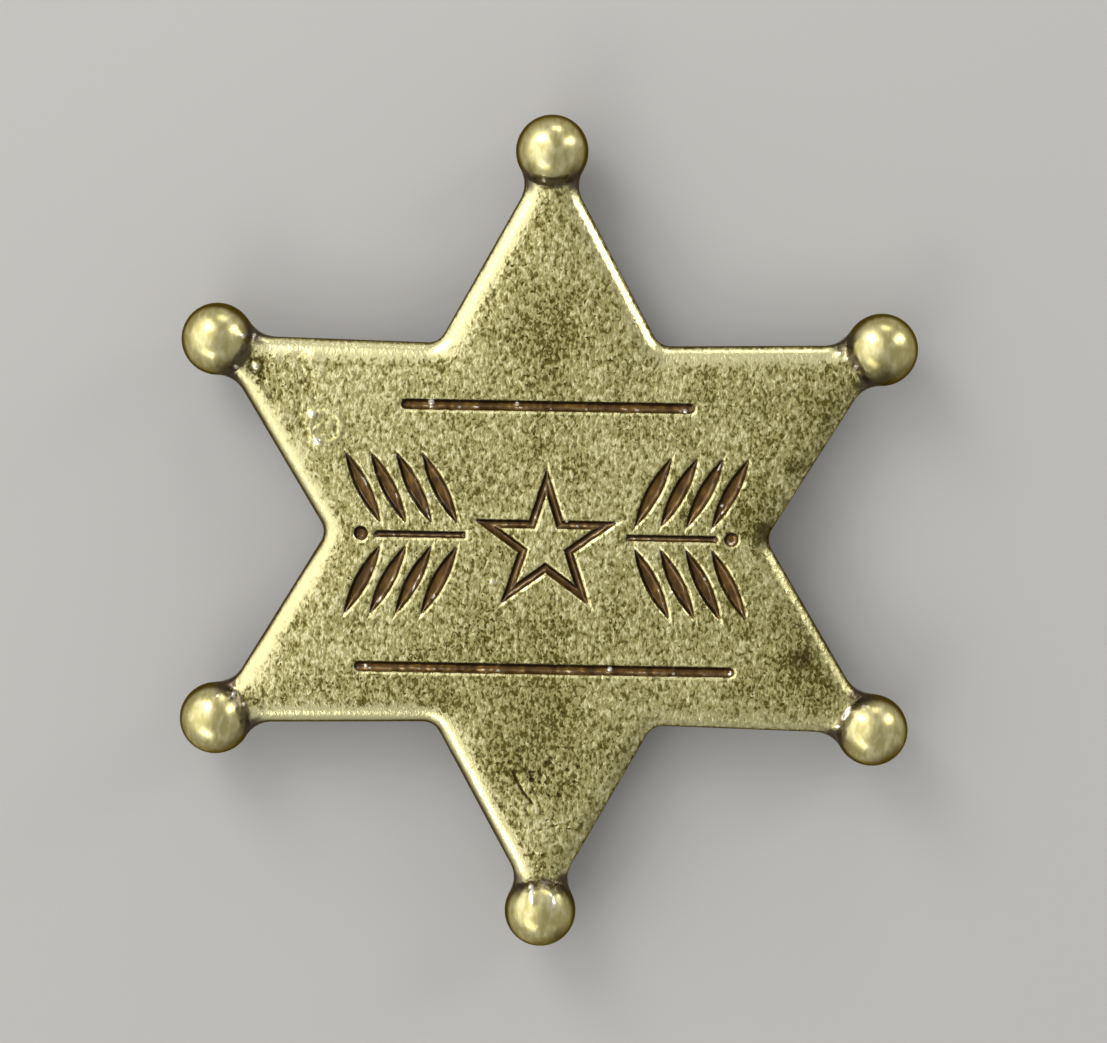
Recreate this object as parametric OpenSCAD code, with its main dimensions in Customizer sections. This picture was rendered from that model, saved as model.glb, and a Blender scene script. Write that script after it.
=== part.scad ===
// Six-point star badge with a ball on each arm and a brooch clasp on its back.
// It lies face up on the clasp's two feet, with its top arm toward +Y, in millimetres.
// The origin is on the surface that it lies on, under the middle of the star.

/* [Star] */
// From the middle of the star to the middle of each ball
star_reach = 29.7; // [27:0.1:34]
// From the middle of the star to each notch between two arms
notch_reach = 17.1; // [15:0.1:19]
// Width of an arm where it runs into its ball
neck_w = 3.8; // [3:0.1:5]
// Thickness of the star plate
plate_t = 2.5; // [2:0.1:4]
// Diameter of the ball on each arm
ball_d = 5.6; // [4.8:0.1:7]
// Width of the rounding along the edge of the face
edge_round = 1.25; // [0.6:0.05:1.6]
// Width of the bevel along the edge of the back
back_bevel = 0.35; // [0.2:0.05:0.6]
// Radius of the fillet in each notch, seen from above
notch_fillet = 1.5; // [0.8:0.1:2.5]
// Radius of the fillet between each ball and the sides of its arm, seen from above
neck_fillet = 2.4; // [0.6:0.1:3.2]

/* [Engraving] */
// Depth of every engraved line and leaf
engrave_depth = 0.45; // [0.2:0.05:0.8]
// Height of the ornament band across the middle
band_h = 12.9; // [10:0.1:14]
// Space between each end of the band and the side notch there
band_space = 0.8; // [0.6:0.1:3]
// From the middle of the small star to its points
star_point = 6.1; // [4:0.1:7]
// Width of the small star's outline
star_line = 0.75; // [0.4:0.05:1]
// Number of leaves along one side of a sprig
leaves = 4; // [3:1:5]
// Width of a leaf at its middle
leaf_w = 1.2; // [0.7:0.05:1.4]
// Lean of the leaves away from upright, in degrees
leaf_lean = 27; // [10:1:35]
// Width of a sprig's stem
stem_line = 0.6; // [0.4:0.05:0.9]
// Plain metal left between a sprig's stem, leaves and berry, and beside the small star
engrave_gap = 0.4; // [0.3:0.05:0.8]
// Diameter of the berry at the end of a sprig
berry_d = 1.2; // [0.7:0.05:1.6]
// Length of the line above the band
top_line_l = 22.8; // [16:0.1:26]
// Length of the line below the band
low_line_l = 29.7; // [20:0.1:32]
// Width of the two lines
line_w = 0.9; // [0.5:0.05:1.4]
// Space between the band and the line above it
top_line_space = 3.2; // [2:0.1:4]
// Space between the band and the line below it
low_line_space = 3.5; // [2:0.1:4]

/* [Clasp] */
// Space between each end of the clasp's base bar and the side notch there
bar_space = 1.1; // [0.6:0.1:5]
// Width of the base bar
bar_w = 5; // [4:0.1:8]
// Thickness of the base bar
bar_t = 0.6; // [0.4:0.05:1.5]
// Diameter of the pin stem
stem_d = 0.9; // [0.7:0.05:1.4]
// Room for cloth between the stem and the base bar
cloth_gap = 1.2; // [0.8:0.1:4]
// From the underside of the stem down to the surface that the clasp stands on
foot_drop = 0.6; // [0.5:0.1:2]
// Width of the hinge barrel and the catch, across the bar
clasp_w = 4; // [3:0.1:6]
// Length of the catch along the bar
catch_l = 2.6; // [1.6:0.1:4]
// From each end of the bar to the hinge or the catch
clasp_end = 1.4; // [0.6:0.1:4]
// How far the pin's point passes the catch
point_l = 1.3; // [0.8:0.1:3]

/* [Hidden] */
$fn = 64;

// Share by which a rounding's arc passes its tangent lines, so that it crosses them cleanly
overshoot = 0.012;
// How far a cutting shape stands out of what it cuts
cut = 1;
// Step between the raw heights of the plate's overlapping pieces, before one cut makes the plate flat
raw_step = 0.25;
// How far a fillet's metal reaches into what it joins
overlap = 0.6;
// Play round the stem in the catch, and how far the stem sits in the catch's inner wall
catch_play = 0.15;
catch_bite = 0.2;
// Depth of the flat on the underside of the hinge barrel
foot_flat = 0.2;
// Radius of the pin's point
point_r = 0.12;
// Depth of a neck fillet's top below the face, as a share of the edge's rounding
web_drop = 0.8;
// Height of a neck fillet's underside over the back, as a share of the back's bevel
web_lift = 1.6;
// Radius of the small star's inner corners, as a share of its points'
star_waist = cos(72) / cos(36);
// Width of the hinge's lug, as a share of the barrel's radius
lug_share = 1.3;
antique_brass = [0.62, 0.57, 0.34];
pin_brass = [0.74, 0.66, 0.40];

arms = 6;
arm_turn = 360 / arms;
ball_r = ball_d / 2;
// Seen along one arm, whose axis is +X: its neck, its notch corner and its half angle
neck_x = star_reach - ball_r;
notch_x = notch_reach * cos(arm_turn / 2);
notch_y = notch_reach * sin(arm_turn / 2);
half_angle = atan2(notch_y - neck_w / 2, neck_x - notch_x);
tip_x = neck_x + neck_w / 2 / tan(half_angle);
side_l = norm([tip_x - notch_x, notch_y]);
// An arm's sides run on past the notches into its neighbours, and its root ends inside the core
root_in = 2 * edge_round;
root = [notch_x - root_in * cos(half_angle), notch_y + root_in * sin(half_angle)];
core_r = notch_reach - 1.3 * edge_round;

// Heights above the surface
stem_z = foot_drop + stem_d / 2;
bar_z = foot_drop + stem_d + cloth_gap;
back_z = bar_z + bar_t;
face_z = back_z + plate_t;

// Places along the clasp
bar_l = 2 * (notch_reach - bar_space);
barrel_r = stem_z + foot_flat;
hinge_x = barrel_r + clasp_end - bar_l / 2;
catch_x = bar_l / 2 - clasp_end - catch_l;

// Places in the engraving
band_half = notch_reach - band_space;
star_side = star_point * cos(18);
leaf_foot = stem_line / 2 + engrave_gap;
leaf_l = (band_h / 2 - leaf_foot) / cos(leaf_lean);
first_leaf = star_side + engrave_gap + leaf_w / 2;
last_leaf = band_half - leaf_w / 2 - leaf_l * sin(leaf_lean);
leaf_step = (last_leaf - first_leaf) / (leaves - 1);

// Outline that cuts the face's edge round and the back's edge to a bevel; X is the way in from the side
module edge_cut_outline() {
    difference() {
        translate([-cut, plate_t - edge_round]) square([cut + edge_round, edge_round + cut]);
        translate([edge_round, plate_t - edge_round]) circle(r = edge_round * (1 + overshoot));
    }
    polygon([[-cut, -cut], [back_bevel + cut, -cut], [-cut, back_bevel + cut]]);
}

// One arm along +X, from its root to its tip, standing out of the plate's face and back by raw
module arm(raw) {
    difference() {
        translate([0, 0, -raw])
            linear_extrude(plate_t + 2 * raw)
                polygon([[root.x, -root.y], [tip_x, 0], root]);
        for (side = [0, 1])
            mirror([0, side, 0])
                translate([tip_x, 0])
                    rotate([90, 0, 270 - half_angle])
                        translate([0, 0, -side_l])
                            linear_extrude(3 * side_l) edge_cut_outline();
    }
}

// Fillets that fill the corners between the ball and the two sides of its arm
module neck_webs() {
    // Along the arm's side from its tip, and out of that side
    ball_along = (tip_x - star_reach) * cos(half_angle);
    ball_out = (star_reach - tip_x) * sin(half_angle);
    reach = ball_r + neck_fillet;
    along = ball_along + sqrt(reach * reach - pow(neck_fillet - ball_out, 2));
    foot = back_bevel * web_lift;
    for (side = [0, 1])
        mirror([0, side, 0])
            translate([tip_x, 0, foot])
                rotate(180 + half_angle)
                    linear_extrude(plate_t - foot - edge_round * web_drop)
                        difference() {
                            polygon([[along, neck_fillet], [along, -overlap], [ball_along, ball_out]]);
                            translate([along, neck_fillet]) circle(r = neck_fillet * (1 + overshoot));
                        }
}

// Metal that rounds off the inner corner of a notch which opens toward +X, standing out by raw
module notch_filler(raw) {
    // Half of the angle that the fillet's arc turns through
    turn = 90 - arm_turn / 2 - half_angle;
    corner_out = notch_fillet / cos(turn);
    translate([notch_reach + corner_out, 0])
        rotate(180 - turn)
            rotate_extrude(angle = 2 * turn)
                translate([notch_fillet * (1 + overshoot), 0])
                    difference() {
                        translate([0, -raw])
                            square([corner_out - notch_fillet + edge_round + overlap, plate_t + 2 * raw]);
                        edge_cut_outline();
                    }
}

// The star plate without its balls, standing on its back at height 0
module plate() {
    core_raw = 4 * raw_step;
    intersection() {
        translate([-tip_x, -tip_x, 0]) cube([2 * tip_x, 2 * tip_x, plate_t]);
        union() {
            translate([0, 0, -core_raw])
                cylinder(r = core_r, h = plate_t + 2 * core_raw, $fn = arms);
            for (i = [0 : arms - 1]) {
                rotate(90 + i * arm_turn) arm((2 + i % 2) * raw_step);
                rotate(90 + (i + 0.5) * arm_turn) notch_filler(raw_step);
            }
        }
    }
}

// The plate with its balls and the fillets at their necks
module star_blank() {
    plate();
    for (i = [0 : arms - 1])
        rotate(90 + i * arm_turn) {
            neck_webs();
            translate([star_reach, 0, plate_t / 2]) sphere(d = ball_d);
        }
}

// Outline of a pointed star with five points, the first toward +Y
module five_points(point) {
    polygon([
        for (i = [0 : 9])
            let (r = i % 2 == 0 ? point : point * star_waist, a = 90 + i * 36)
                [r * cos(a), r * sin(a)]
    ]);
}

// Outline of the small star, whose height is centred on the band's
module star_outline() {
    edge_in = star_point * cos(72);
    translate([0, (cos(36) - 1) * star_point / 2])
        difference() {
            five_points(star_point);
            five_points(star_point * (edge_in - star_line) / edge_in);
        }
}

// Outline of one leaf that stands on the origin and leans toward +X
module leaf() {
    side_r = (leaf_l * leaf_l + leaf_w * leaf_w) / (4 * leaf_w);
    rotate(-leaf_lean)
        translate([0, leaf_l / 2])
            intersection() {
                translate([leaf_w / 2 - side_r, 0]) circle(r = side_r);
                translate([side_r - leaf_w / 2, 0]) circle(r = side_r);
            }
}

// Outline of one sprig, from the small star out toward +X
module sprig() {
    for (i = [0 : leaves - 1])
        for (side = [0, 1])
            mirror([0, side])
                translate([first_leaf + i * leaf_step, leaf_foot]) leaf();
    stem_from = first_leaf - leaf_w / 2;
    stem_to = last_leaf + leaf_w / 2;
    translate([stem_from, -stem_line / 2]) square([stem_to - stem_from, stem_line]);
    translate([stem_to + engrave_gap + berry_d / 2, 0]) circle(d = berry_d);
}

// Outline of a line with round ends, centred on the origin
module round_line(length) {
    half = (length - line_w) / 2;
    square([2 * half, line_w], center = true);
    for (x = [-half, half])
        translate([x, 0]) circle(d = line_w * (1 + overshoot));
}

// Outlines of everything that is engraved in the face
module engraving() {
    star_outline();
    for (side = [0, 1])
        mirror([side, 0]) sprig();
    translate([0, (band_h + line_w) / 2 + top_line_space]) round_line(top_line_l);
    translate([0, -(band_h + line_w) / 2 - low_line_space]) round_line(low_line_l);
}

module star_badge() {
    color(antique_brass)
        difference() {
            translate([0, 0, back_z]) star_blank();
            translate([0, 0, face_z - engrave_depth])
                linear_extrude(engrave_depth + cut) engraving();
        }
}

// Base bar with round ends, under the back of the star
module base_bar() {
    half = (bar_l - bar_w) / 2;
    translate([0, 0, bar_z])
        linear_extrude(bar_t) {
            square([2 * half, bar_w], center = true);
            for (x = [-half, half])
                translate([x, 0]) circle(d = bar_w);
        }
}

// Hinge barrel across the bar, with a flat on its underside, and the lug that carries it
module hinge() {
    lug_w = barrel_r * lug_share;
    difference() {
        union() {
            translate([hinge_x, clasp_w / 2, stem_z])
                rotate([90, 0, 0])
                    cylinder(r = barrel_r, h = clasp_w);
            translate([hinge_x - lug_w / 2, -clasp_w / 2, stem_z])
                cube([lug_w, clasp_w, bar_z - stem_z + bar_t / 2]);
        }
        translate([hinge_x - 2 * barrel_r, -clasp_w, -2 * barrel_r])
            cube([4 * barrel_r, 2 * clasp_w, 2 * barrel_r]);
    }
}

// Catch whose slot is open toward -Y, with the stem against the slot's inner wall
module catch() {
    slot_h = stem_d + 2 * catch_play;
    difference() {
        translate([catch_x, -clasp_w / 2, 0])
            cube([catch_l, clasp_w, bar_z + bar_t / 2]);
        translate([catch_x - cut, -clasp_w, stem_z - slot_h / 2])
            cube([catch_l + 2 * cut, clasp_w + stem_d / 2 - catch_bite, slot_h]);
    }
}

// Pin stem from the hinge through the catch, with its point
module stem() {
    stem_end = catch_x + catch_l;
    translate([hinge_x, 0, stem_z])
        rotate([0, 90, 0])
            cylinder(d = stem_d, h = stem_end - hinge_x);
    translate([stem_end, 0, stem_z])
        rotate([0, 90, 0])
            cylinder(r1 = stem_d / 2, r2 = point_r, h = point_l);
}

module brooch_pin() {
    color(pin_brass) {
        base_bar();
        hinge();
        catch();
        stem();
    }
}

star_badge();
brooch_pin();
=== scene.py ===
"""Six-point star badge of aged brass with a ball on each arm, lying face up on its brooch clasp."""
import logging
import math
from dataclasses import dataclass, field
from enum import Enum
from functools import reduce
from typing import Any

import bpy
import numpy as np
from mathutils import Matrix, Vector, noise
from mathutils.geometry import delaunay_2d_cdt


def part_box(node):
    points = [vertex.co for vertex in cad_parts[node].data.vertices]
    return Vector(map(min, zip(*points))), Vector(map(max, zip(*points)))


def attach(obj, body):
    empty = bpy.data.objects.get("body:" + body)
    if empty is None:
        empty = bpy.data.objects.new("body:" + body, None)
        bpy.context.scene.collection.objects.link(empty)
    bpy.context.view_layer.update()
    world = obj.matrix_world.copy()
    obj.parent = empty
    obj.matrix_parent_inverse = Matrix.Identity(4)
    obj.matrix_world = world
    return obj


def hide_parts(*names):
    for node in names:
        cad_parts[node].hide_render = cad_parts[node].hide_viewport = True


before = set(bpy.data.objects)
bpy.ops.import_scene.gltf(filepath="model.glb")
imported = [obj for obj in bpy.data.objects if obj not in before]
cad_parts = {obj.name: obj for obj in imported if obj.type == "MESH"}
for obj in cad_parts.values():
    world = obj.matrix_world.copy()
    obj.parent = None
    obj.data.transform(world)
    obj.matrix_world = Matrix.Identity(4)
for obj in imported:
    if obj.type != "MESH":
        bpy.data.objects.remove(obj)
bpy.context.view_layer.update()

MM = 0.001
BODY = "root"

log = logging.getLogger("star_badge")

Array = np.ndarray
Socket = bpy.types.NodeSocket
Triple = tuple[float, float, float]


class Side(Enum):
    """The two sides of the star plate."""

    FACE = 1
    BACK = -1


class Mask(Enum):
    """Names of the values that the star's mesh carries for its finish, one for each vertex."""

    INSET = "inset_mm"
    GROOVE = "groove_mm"
    CREASE = "crease"
    FACING = "facing"
    POLISH_AND_GLINT = "polish_and_glint"
    WEAR_AND_HIGHLIGHT = "wear"
    BRIM_HIGHLIGHT = "brim_highlight"
    BALL = "ball"
    STAIN_AND_SHADE = "stain_and_shade"
    PATINA_AND_SHADE = "patina_and_shade"


def smooth_max(a: Array, b: Array, soft: float) -> Array:
    """Larger of two heights, with the corner rounded where they differ by less than soft."""
    share = np.clip(0.5 + 0.5 * (a - b) / soft, 0.0, 1.0)
    return b + (a - b) * share + soft * share * (1.0 - share)


def smooth_step(x: Array, low: float, high: float) -> Array:
    """Smooth rise from 0 at low to 1 at high, or a fall where low is over high."""
    t = np.clip((x - low) / (high - low), 0.0, 1.0)
    return t * t * (3.0 - 2.0 * t)


def ripple(points: Array, size: float, seed: float) -> Array:
    """Smooth random height from about -1 to 1 at each place, in waves of the given width."""
    return np.array([noise.noise((x / size, y / size, seed)) for x, y in points[:, :2]])


@dataclass(frozen=True)
class Ramp:
    """Smooth step of a value between two limits, mapped to an output range.

    Attributes:
        start: Where the step starts; it may be over end, and then the step runs the other way.
        end: Where the step ends.
        first: Output before the start.
        last: Output past the end.
    """

    start: float
    end: float
    first: float = 0.0
    last: float = 1.0

    def at(self, x: Array) -> Array:
        """Outputs of the ramp for the given values."""
        return self.first + (self.last - self.first) * smooth_step(x, self.start, self.end)


@dataclass(frozen=True)
class Cloud:
    """Cloudy noise of a material.

    Attributes:
        size: Width of the pattern along each axis in millimetres.
        detail: Number of finer layers.
        rough: Share of each finer layer.
        twist: How far the pattern is bent.
    """

    size: Triple
    detail: float = 2.0
    rough: float = 0.5
    twist: float = 0.0


@dataclass
class StarPlan:
    """Outline of the star seen from above, in millimetres, with the middle of the star at the origin.

    Attributes:
        reach: Distance of the balls' centres from the middle.
        notch: Distance of the sharp notch corners from the middle.
        neck_w: Width of an arm where its straight sides reach the ball.
        side_crowding: How much closer the points of a side lie toward the ball.
    """

    reach: float = 29.7
    notch: float = 17.1
    neck_w: float = 3.8
    ball_r: float = 2.8
    notch_fillet: float = 1.5
    neck_fillet: float = 2.4
    arms: int = 6
    notch_steps: int = 8
    side_steps: int = 46
    neck_steps: int = 18
    ball_steps: int = 30
    side_crowding: float = 1.25

    def __post_init__(self) -> None:
        """Works out the corners and fillet centres of half an arm whose axis is +X."""
        self.arm_turn = 2 * math.pi / self.arms
        self.mid_way = np.array([math.cos(self.arm_turn / 2), math.sin(self.arm_turn / 2)])
        notch_at = self.mid_way * self.notch
        self.ball_at = np.array([self.reach, 0.0])
        neck_at = np.array([self.reach - self.ball_r, self.neck_w / 2])
        along = (neck_at - notch_at) / np.linalg.norm(neck_at - notch_at)
        self.inward = np.array([along[1], -along[0]])
        rise = self.notch_fillet / float(-self.inward @ self.mid_way)
        self.notch_centre = self.mid_way * (self.notch + rise)
        shifted = notch_at - self.neck_fillet * self.inward
        to_ball = self.ball_at - shifted
        forward = float(to_ball @ along)
        aside = float(to_ball @ self.inward)
        reach = self.ball_r + self.neck_fillet
        self.neck_centre = shifted + along * (forward - math.sqrt(reach**2 - aside**2))
        self.from_neck = (self.ball_at - self.neck_centre) / reach
        self.side_from = self.notch_centre + self.notch_fillet * self.inward
        self.side_to = self.neck_centre + self.neck_fillet * self.inward

    def arc(self, centre: Array, radius: float, start: Array, end: Array, steps: int) -> Array:
        """Points along an arc.

        Args:
            centre: Centre of the arc.
            radius: Radius of the arc.
            start: Unit vector from the centre to the first point.
            end: Unit vector from the centre to the last point.
            steps: Number of steps between the two.

        Returns:
            The points, one row each.
        """
        a = math.atan2(start[1], start[0])
        turn = math.remainder(math.atan2(end[1], end[0]) - a, 2 * math.pi)
        angles = a + turn * np.linspace(0.0, 1.0, steps + 1)
        return centre + radius * np.c_[np.cos(angles), np.sin(angles)]

    def half_arm(self, inset: float) -> Array:
        """Outline of half an arm, from the middle of its notch to the outer point of its ball.

        Args:
            inset: How far inside the real outline it runs.

        Returns:
            The points, one row each, for the half on the +Y side of an arm along +X.
        """
        share = 1.0 - (1.0 - np.linspace(0.0, 1.0, self.side_steps + 1)) ** self.side_crowding
        start = self.side_from + inset * self.inward
        end = self.side_to + inset * self.inward
        x_axis = np.array([1.0, 0.0])
        notch_r, neck_r = self.notch_fillet + inset, self.neck_fillet + inset
        parts = [
            self.arc(self.notch_centre, notch_r, -self.mid_way, self.inward, self.notch_steps),
            start + share[:, None] * (end - start),
            self.arc(self.neck_centre, neck_r, self.inward, self.from_neck, self.neck_steps),
            self.arc(self.ball_at, self.ball_r - inset, -self.from_neck, x_axis, self.ball_steps),
        ]
        return np.vstack([parts[0]] + [part[1:] for part in parts[1:]])

    def contour(self, inset: float) -> Array:
        """Closed outline, counterclockwise; each row keeps its place along it at every inset."""
        half = self.half_arm(inset)
        return self.on_arms(np.vstack([(half * [1.0, -1.0])[:-1], half[::-1][:-1]]))

    def on_arms(self, points: Array) -> Array:
        """Points of an arm along +X, copied to every arm counterclockwise from the top one."""
        return np.vstack([self.turned(points, self.axis_angle(arm)) for arm in range(self.arms)])

    def axis_angle(self, arm: Any) -> Any:
        """Angle of an arm's axis in radians; the arms count counterclockwise from the top one at 0."""
        return math.pi / 2 + arm * self.arm_turn

    def nearest_arm(self, points: Array) -> tuple[Array, Array]:
        """The arm that each place lies nearest to.

        Args:
            points: Places in millimetres, one row each.

        Returns:
            Numbers of the arms, and the angles of the places from the arms' axes.
        """
        angle = np.arctan2(points[:, 1], points[:, 0]) - self.axis_angle(0)
        arm = np.round(angle / self.arm_turn).astype(int)
        return arm, angle - arm * self.arm_turn

    @staticmethod
    def turned(points: Array, angle: Any) -> Array:
        """Points turned about the origin.

        Args:
            points: Places, one row each.
            angle: Angle in radians, one for all of them or one for each.

        Returns:
            The turned points, one row each.
        """
        c, s = np.cos(angle), np.sin(angle)
        x, y = points[:, 0], points[:, 1]
        return np.c_[c * x - s * y, s * x + c * y]

    def folded(self, points: Array) -> Array:
        """Places of points as seen by the half arm that they lie nearest to.

        Args:
            points: Places in millimetres, one row each.

        Returns:
            Places along the arm's axis and aside from it, one row each, all on its +Y side.
        """
        arm, _ = self.nearest_arm(points)
        local = self.turned(points, -self.axis_angle(arm))
        return np.c_[local[:, 0], np.abs(local[:, 1])]

    def inset(self, points: Array) -> Array:
        """Distance of points inside the outline.

        Args:
            points: Places in millimetres, one row each.

        Returns:
            One distance for each place, negative outside.
        """
        p = self.folded(points)
        from_notch = p - self.notch_centre
        from_neck = p - self.neck_centre
        from_ball = p - self.ball_at
        along = np.array([-self.inward[1], self.inward[0]])
        side = (p - self.side_from) @ self.inward
        in_notch = (from_notch @ along < 0) & (side > -self.notch)
        on_neck = from_neck @ along > 0
        cross = self.from_neck[0] * from_neck[:, 1] - self.from_neck[1] * from_neck[:, 0]
        on_ball = on_neck & (cross > 0)
        out = np.where(in_notch, np.linalg.norm(from_notch, axis=1) - self.notch_fillet, side)
        out = np.where(on_neck, np.linalg.norm(from_neck, axis=1) - self.neck_fillet, out)
        return np.where(on_ball, self.ball_r - np.linalg.norm(from_ball, axis=1), out)

    def ball_gap(self, points: Array) -> Array:
        """Distance of points from the centre of the nearest ball, seen from above."""
        return np.linalg.norm(self.folded(points) - self.ball_at, axis=1)

    def from_ball_centre(self, points: Array) -> Array:
        """Offsets of points from the centre of the nearest ball, seen from above."""
        turn = self.axis_angle(self.nearest_arm(points)[0])
        return points - self.reach * np.c_[np.cos(turn), np.sin(turn)]


@dataclass
class Ornament:
    """Engraved star, laurel sprigs and lines, in millimetres; every distance is negative inside a shape.

    Attributes:
        band_h: Height of the band that the star and the sprigs fill.
        band_half: Half the length of that band.
        star_point: Distance of the star's tips from its middle.
        star_line: Width of the star's outline.
        gap: Room between the star, the leaves, the stem and the berry.
        top_line_space: Room between the band and the line over it.
        low_line_space: Room between the band and the line under it.
        point_step: Distance of the mesh's points along the engraving.
        point_slack: How far such a point may lie off its level, where shapes come close.
    """

    band_h: float = 12.9
    band_half: float = 16.3
    star_point: float = 6.1
    star_line: float = 0.75
    leaves: int = 4
    leaf_w: float = 1.2
    leaf_lean: float = 27.0
    stem_line: float = 0.6
    gap: float = 0.4
    berry_d: float = 1.2
    top_line_l: float = 22.8
    low_line_l: float = 29.7
    line_w: float = 0.9
    top_line_space: float = 3.2
    low_line_space: float = 3.5
    point_step: float = 0.15
    point_slack: float = 0.012
    round_steps: int = 6
    star_tips: int = 5

    def __post_init__(self) -> None:
        """Works out the places of the star, leaves, berries and lines."""
        lean = math.radians(self.leaf_lean)
        self.lean_cos, self.lean_sin = math.cos(lean), math.sin(lean)
        self.star_turn = 2 * math.pi / self.star_tips
        self.star_y = (math.cos(self.star_turn / 2) - 1) * self.star_point / 2
        self.leaf_foot = self.stem_line / 2 + self.gap
        self.leaf_l = (self.band_h / 2 - self.leaf_foot) / self.lean_cos
        self.first_leaf = self.star_point * math.cos(self.star_turn / 4) + self.gap + self.leaf_w / 2
        self.last_leaf = self.band_half - self.leaf_w / 2 - self.leaf_l * self.lean_sin
        self.leaf_r = (self.leaf_l**2 + self.leaf_w**2) / (4 * self.leaf_w)
        self.stem_from = self.first_leaf - self.leaf_w / 2
        self.stem_to = self.last_leaf + self.leaf_w / 2
        self.berry_x = self.stem_to + self.gap + self.berry_d / 2
        self.lines = {
            (self.band_h + self.line_w) / 2 + self.top_line_space: self.top_line_l,
            -(self.band_h + self.line_w) / 2 - self.low_line_space: self.low_line_l,
        }
        edge = self.star_point * math.cos(self.star_turn)
        self.star_edges = (edge, edge - self.star_line)

    def leaf_roots(self) -> list[float]:
        """Places of the leaves along the stem."""
        return list(np.linspace(self.first_leaf, self.last_leaf, self.leaves))

    def star_distance(self, x: Array, y: Array, edge: float) -> Array:
        """Distance to a five-pointed star whose edges lie at a given distance from its middle.

        Args:
            x: Places across.
            y: Places up, from the middle of the star.
            edge: Distance of every edge line from the middle.

        Returns:
            One distance for each place.
        """
        a = np.round(np.arctan2(x, y) / self.star_turn) * self.star_turn
        side = np.abs(np.cos(a) * x - np.sin(a) * y)
        up = np.sin(a) * x + np.cos(a) * y
        return side * math.sin(self.star_turn) + up * math.cos(self.star_turn) - edge

    def leaf_distance(self, x: Array, y: Array) -> Array:
        """Distance to the nearest leaf, for places on the +X, +Y side.

        Args:
            x: Places across.
            y: Places up.

        Returns:
            One distance for each place.
        """
        best = np.full(x.shape, np.inf)
        offset = self.leaf_r - self.leaf_w / 2
        for root in self.leaf_roots():
            dx, dy = x - root, y - self.leaf_foot
            across = self.lean_cos * dx - self.lean_sin * dy
            up = self.lean_sin * dx + self.lean_cos * dy - self.leaf_l / 2
            far = np.hypot(np.abs(across) + offset, up)
            best = np.minimum(best, far - self.leaf_r)
        return best

    def distance(self, points: Array) -> Array:
        """Distance to the nearest engraved shape.

        Args:
            points: Places in millimetres, one row each.

        Returns:
            One distance for each place, negative inside a shape.
        """
        x, y = points[:, 0], points[:, 1]
        ax, ay = np.abs(x), np.abs(y)
        outer, inner = self.star_edges
        ring = np.maximum(
            self.star_distance(x, y - self.star_y, outer),
            -self.star_distance(x, y - self.star_y, inner),
        )
        middle = (self.stem_from + self.stem_to) / 2
        half = (self.stem_to - self.stem_from) / 2
        stem = np.maximum(np.abs(ax - middle) - half, ay - self.stem_line / 2)
        berry = np.hypot(ax - self.berry_x, y) - self.berry_d / 2
        best = np.minimum.reduce([ring, self.leaf_distance(ax, ay), stem, berry])
        for height, length in self.lines.items():
            run = np.maximum(ax - (length - self.line_w) / 2, 0.0)
            best = np.minimum(best, np.hypot(run, y - height) - self.line_w / 2)
        return best

    def path(self, corners: list[tuple[float, float]], closed: bool = True) -> Array:
        """Points spaced evenly along straight runs between corners.

        Args:
            corners: The corners in order.
            closed: Whether the last corner joins the first.

        Returns:
            The points, one row each.
        """
        c = np.array(corners)
        ends = np.roll(c, -1, axis=0) if closed else c[1:]
        runs = []
        for a, b in zip(c, ends):
            steps = max(int(np.linalg.norm(b - a) / self.point_step), 1)
            runs.append(a + np.linspace(0, 1, steps, endpoint=False)[:, None] * (b - a))
        return np.vstack(runs)

    def star_path(self, edge: float) -> Array:
        """Points round the engraved star.

        Args:
            edge: Distance of every edge line from the star's middle.

        Returns:
            The points, one row each.
        """
        point = edge / math.cos(self.star_turn)
        waist = edge / math.cos(self.star_turn / 2)
        corners = []
        for i in range(2 * self.star_tips):
            r = waist if i % 2 else point
            a = math.pi / 2 + i * self.star_turn / 2
            corners.append((r * math.cos(a), r * math.sin(a) + self.star_y))
        return self.path(corners)

    def round_path(self, half: float, radius: float, x: float, y: float) -> Array:
        """Points round a line with round ends, or round a circle where its half length is 0.

        Args:
            half: Half the length between the centres of the ends.
            radius: Radius of the ends.
            x: Place of the middle across.
            y: Place of the middle up.

        Returns:
            The points, one row each.
        """
        steps = max(int(math.pi * radius / self.point_step), self.round_steps)
        a = np.linspace(-math.pi / 2, math.pi / 2, steps + 1)
        right = np.c_[half + radius * np.cos(a), radius * np.sin(a)]
        left = right * [-1.0, -1.0]
        run = self.path([(-half, radius), (half, radius)], closed=False) if half else np.empty((0, 2))
        return np.vstack([right, left, run, run * [1.0, -1.0]]) + [x, y]

    def leaf_path(self, root: float, level: float) -> Array:
        """Points round one leaf on the +X, +Y side.

        Args:
            root: Place of the leaf along the stem.
            level: Distance of the path outside the leaf's outline.

        Returns:
            The points, one row each; none if the leaf is narrower than the path needs.
        """
        radius = self.leaf_r + level
        offset = self.leaf_r - self.leaf_w / 2
        if radius <= offset:
            return np.empty((0, 2))
        top = math.acos(offset / radius)
        steps = max(int(2 * top * radius / self.point_step), 2)
        a = np.linspace(-top, top, steps + 1)
        right = np.c_[radius * np.cos(a) - offset, radius * np.sin(a)]
        local = np.vstack([right, right * [-1.0, 1.0]]) + [0.0, self.leaf_l / 2]
        x = self.lean_cos * local[:, 0] + self.lean_sin * local[:, 1]
        y = self.lean_cos * local[:, 1] - self.lean_sin * local[:, 0]
        return np.c_[x + root, y + self.leaf_foot]

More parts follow.
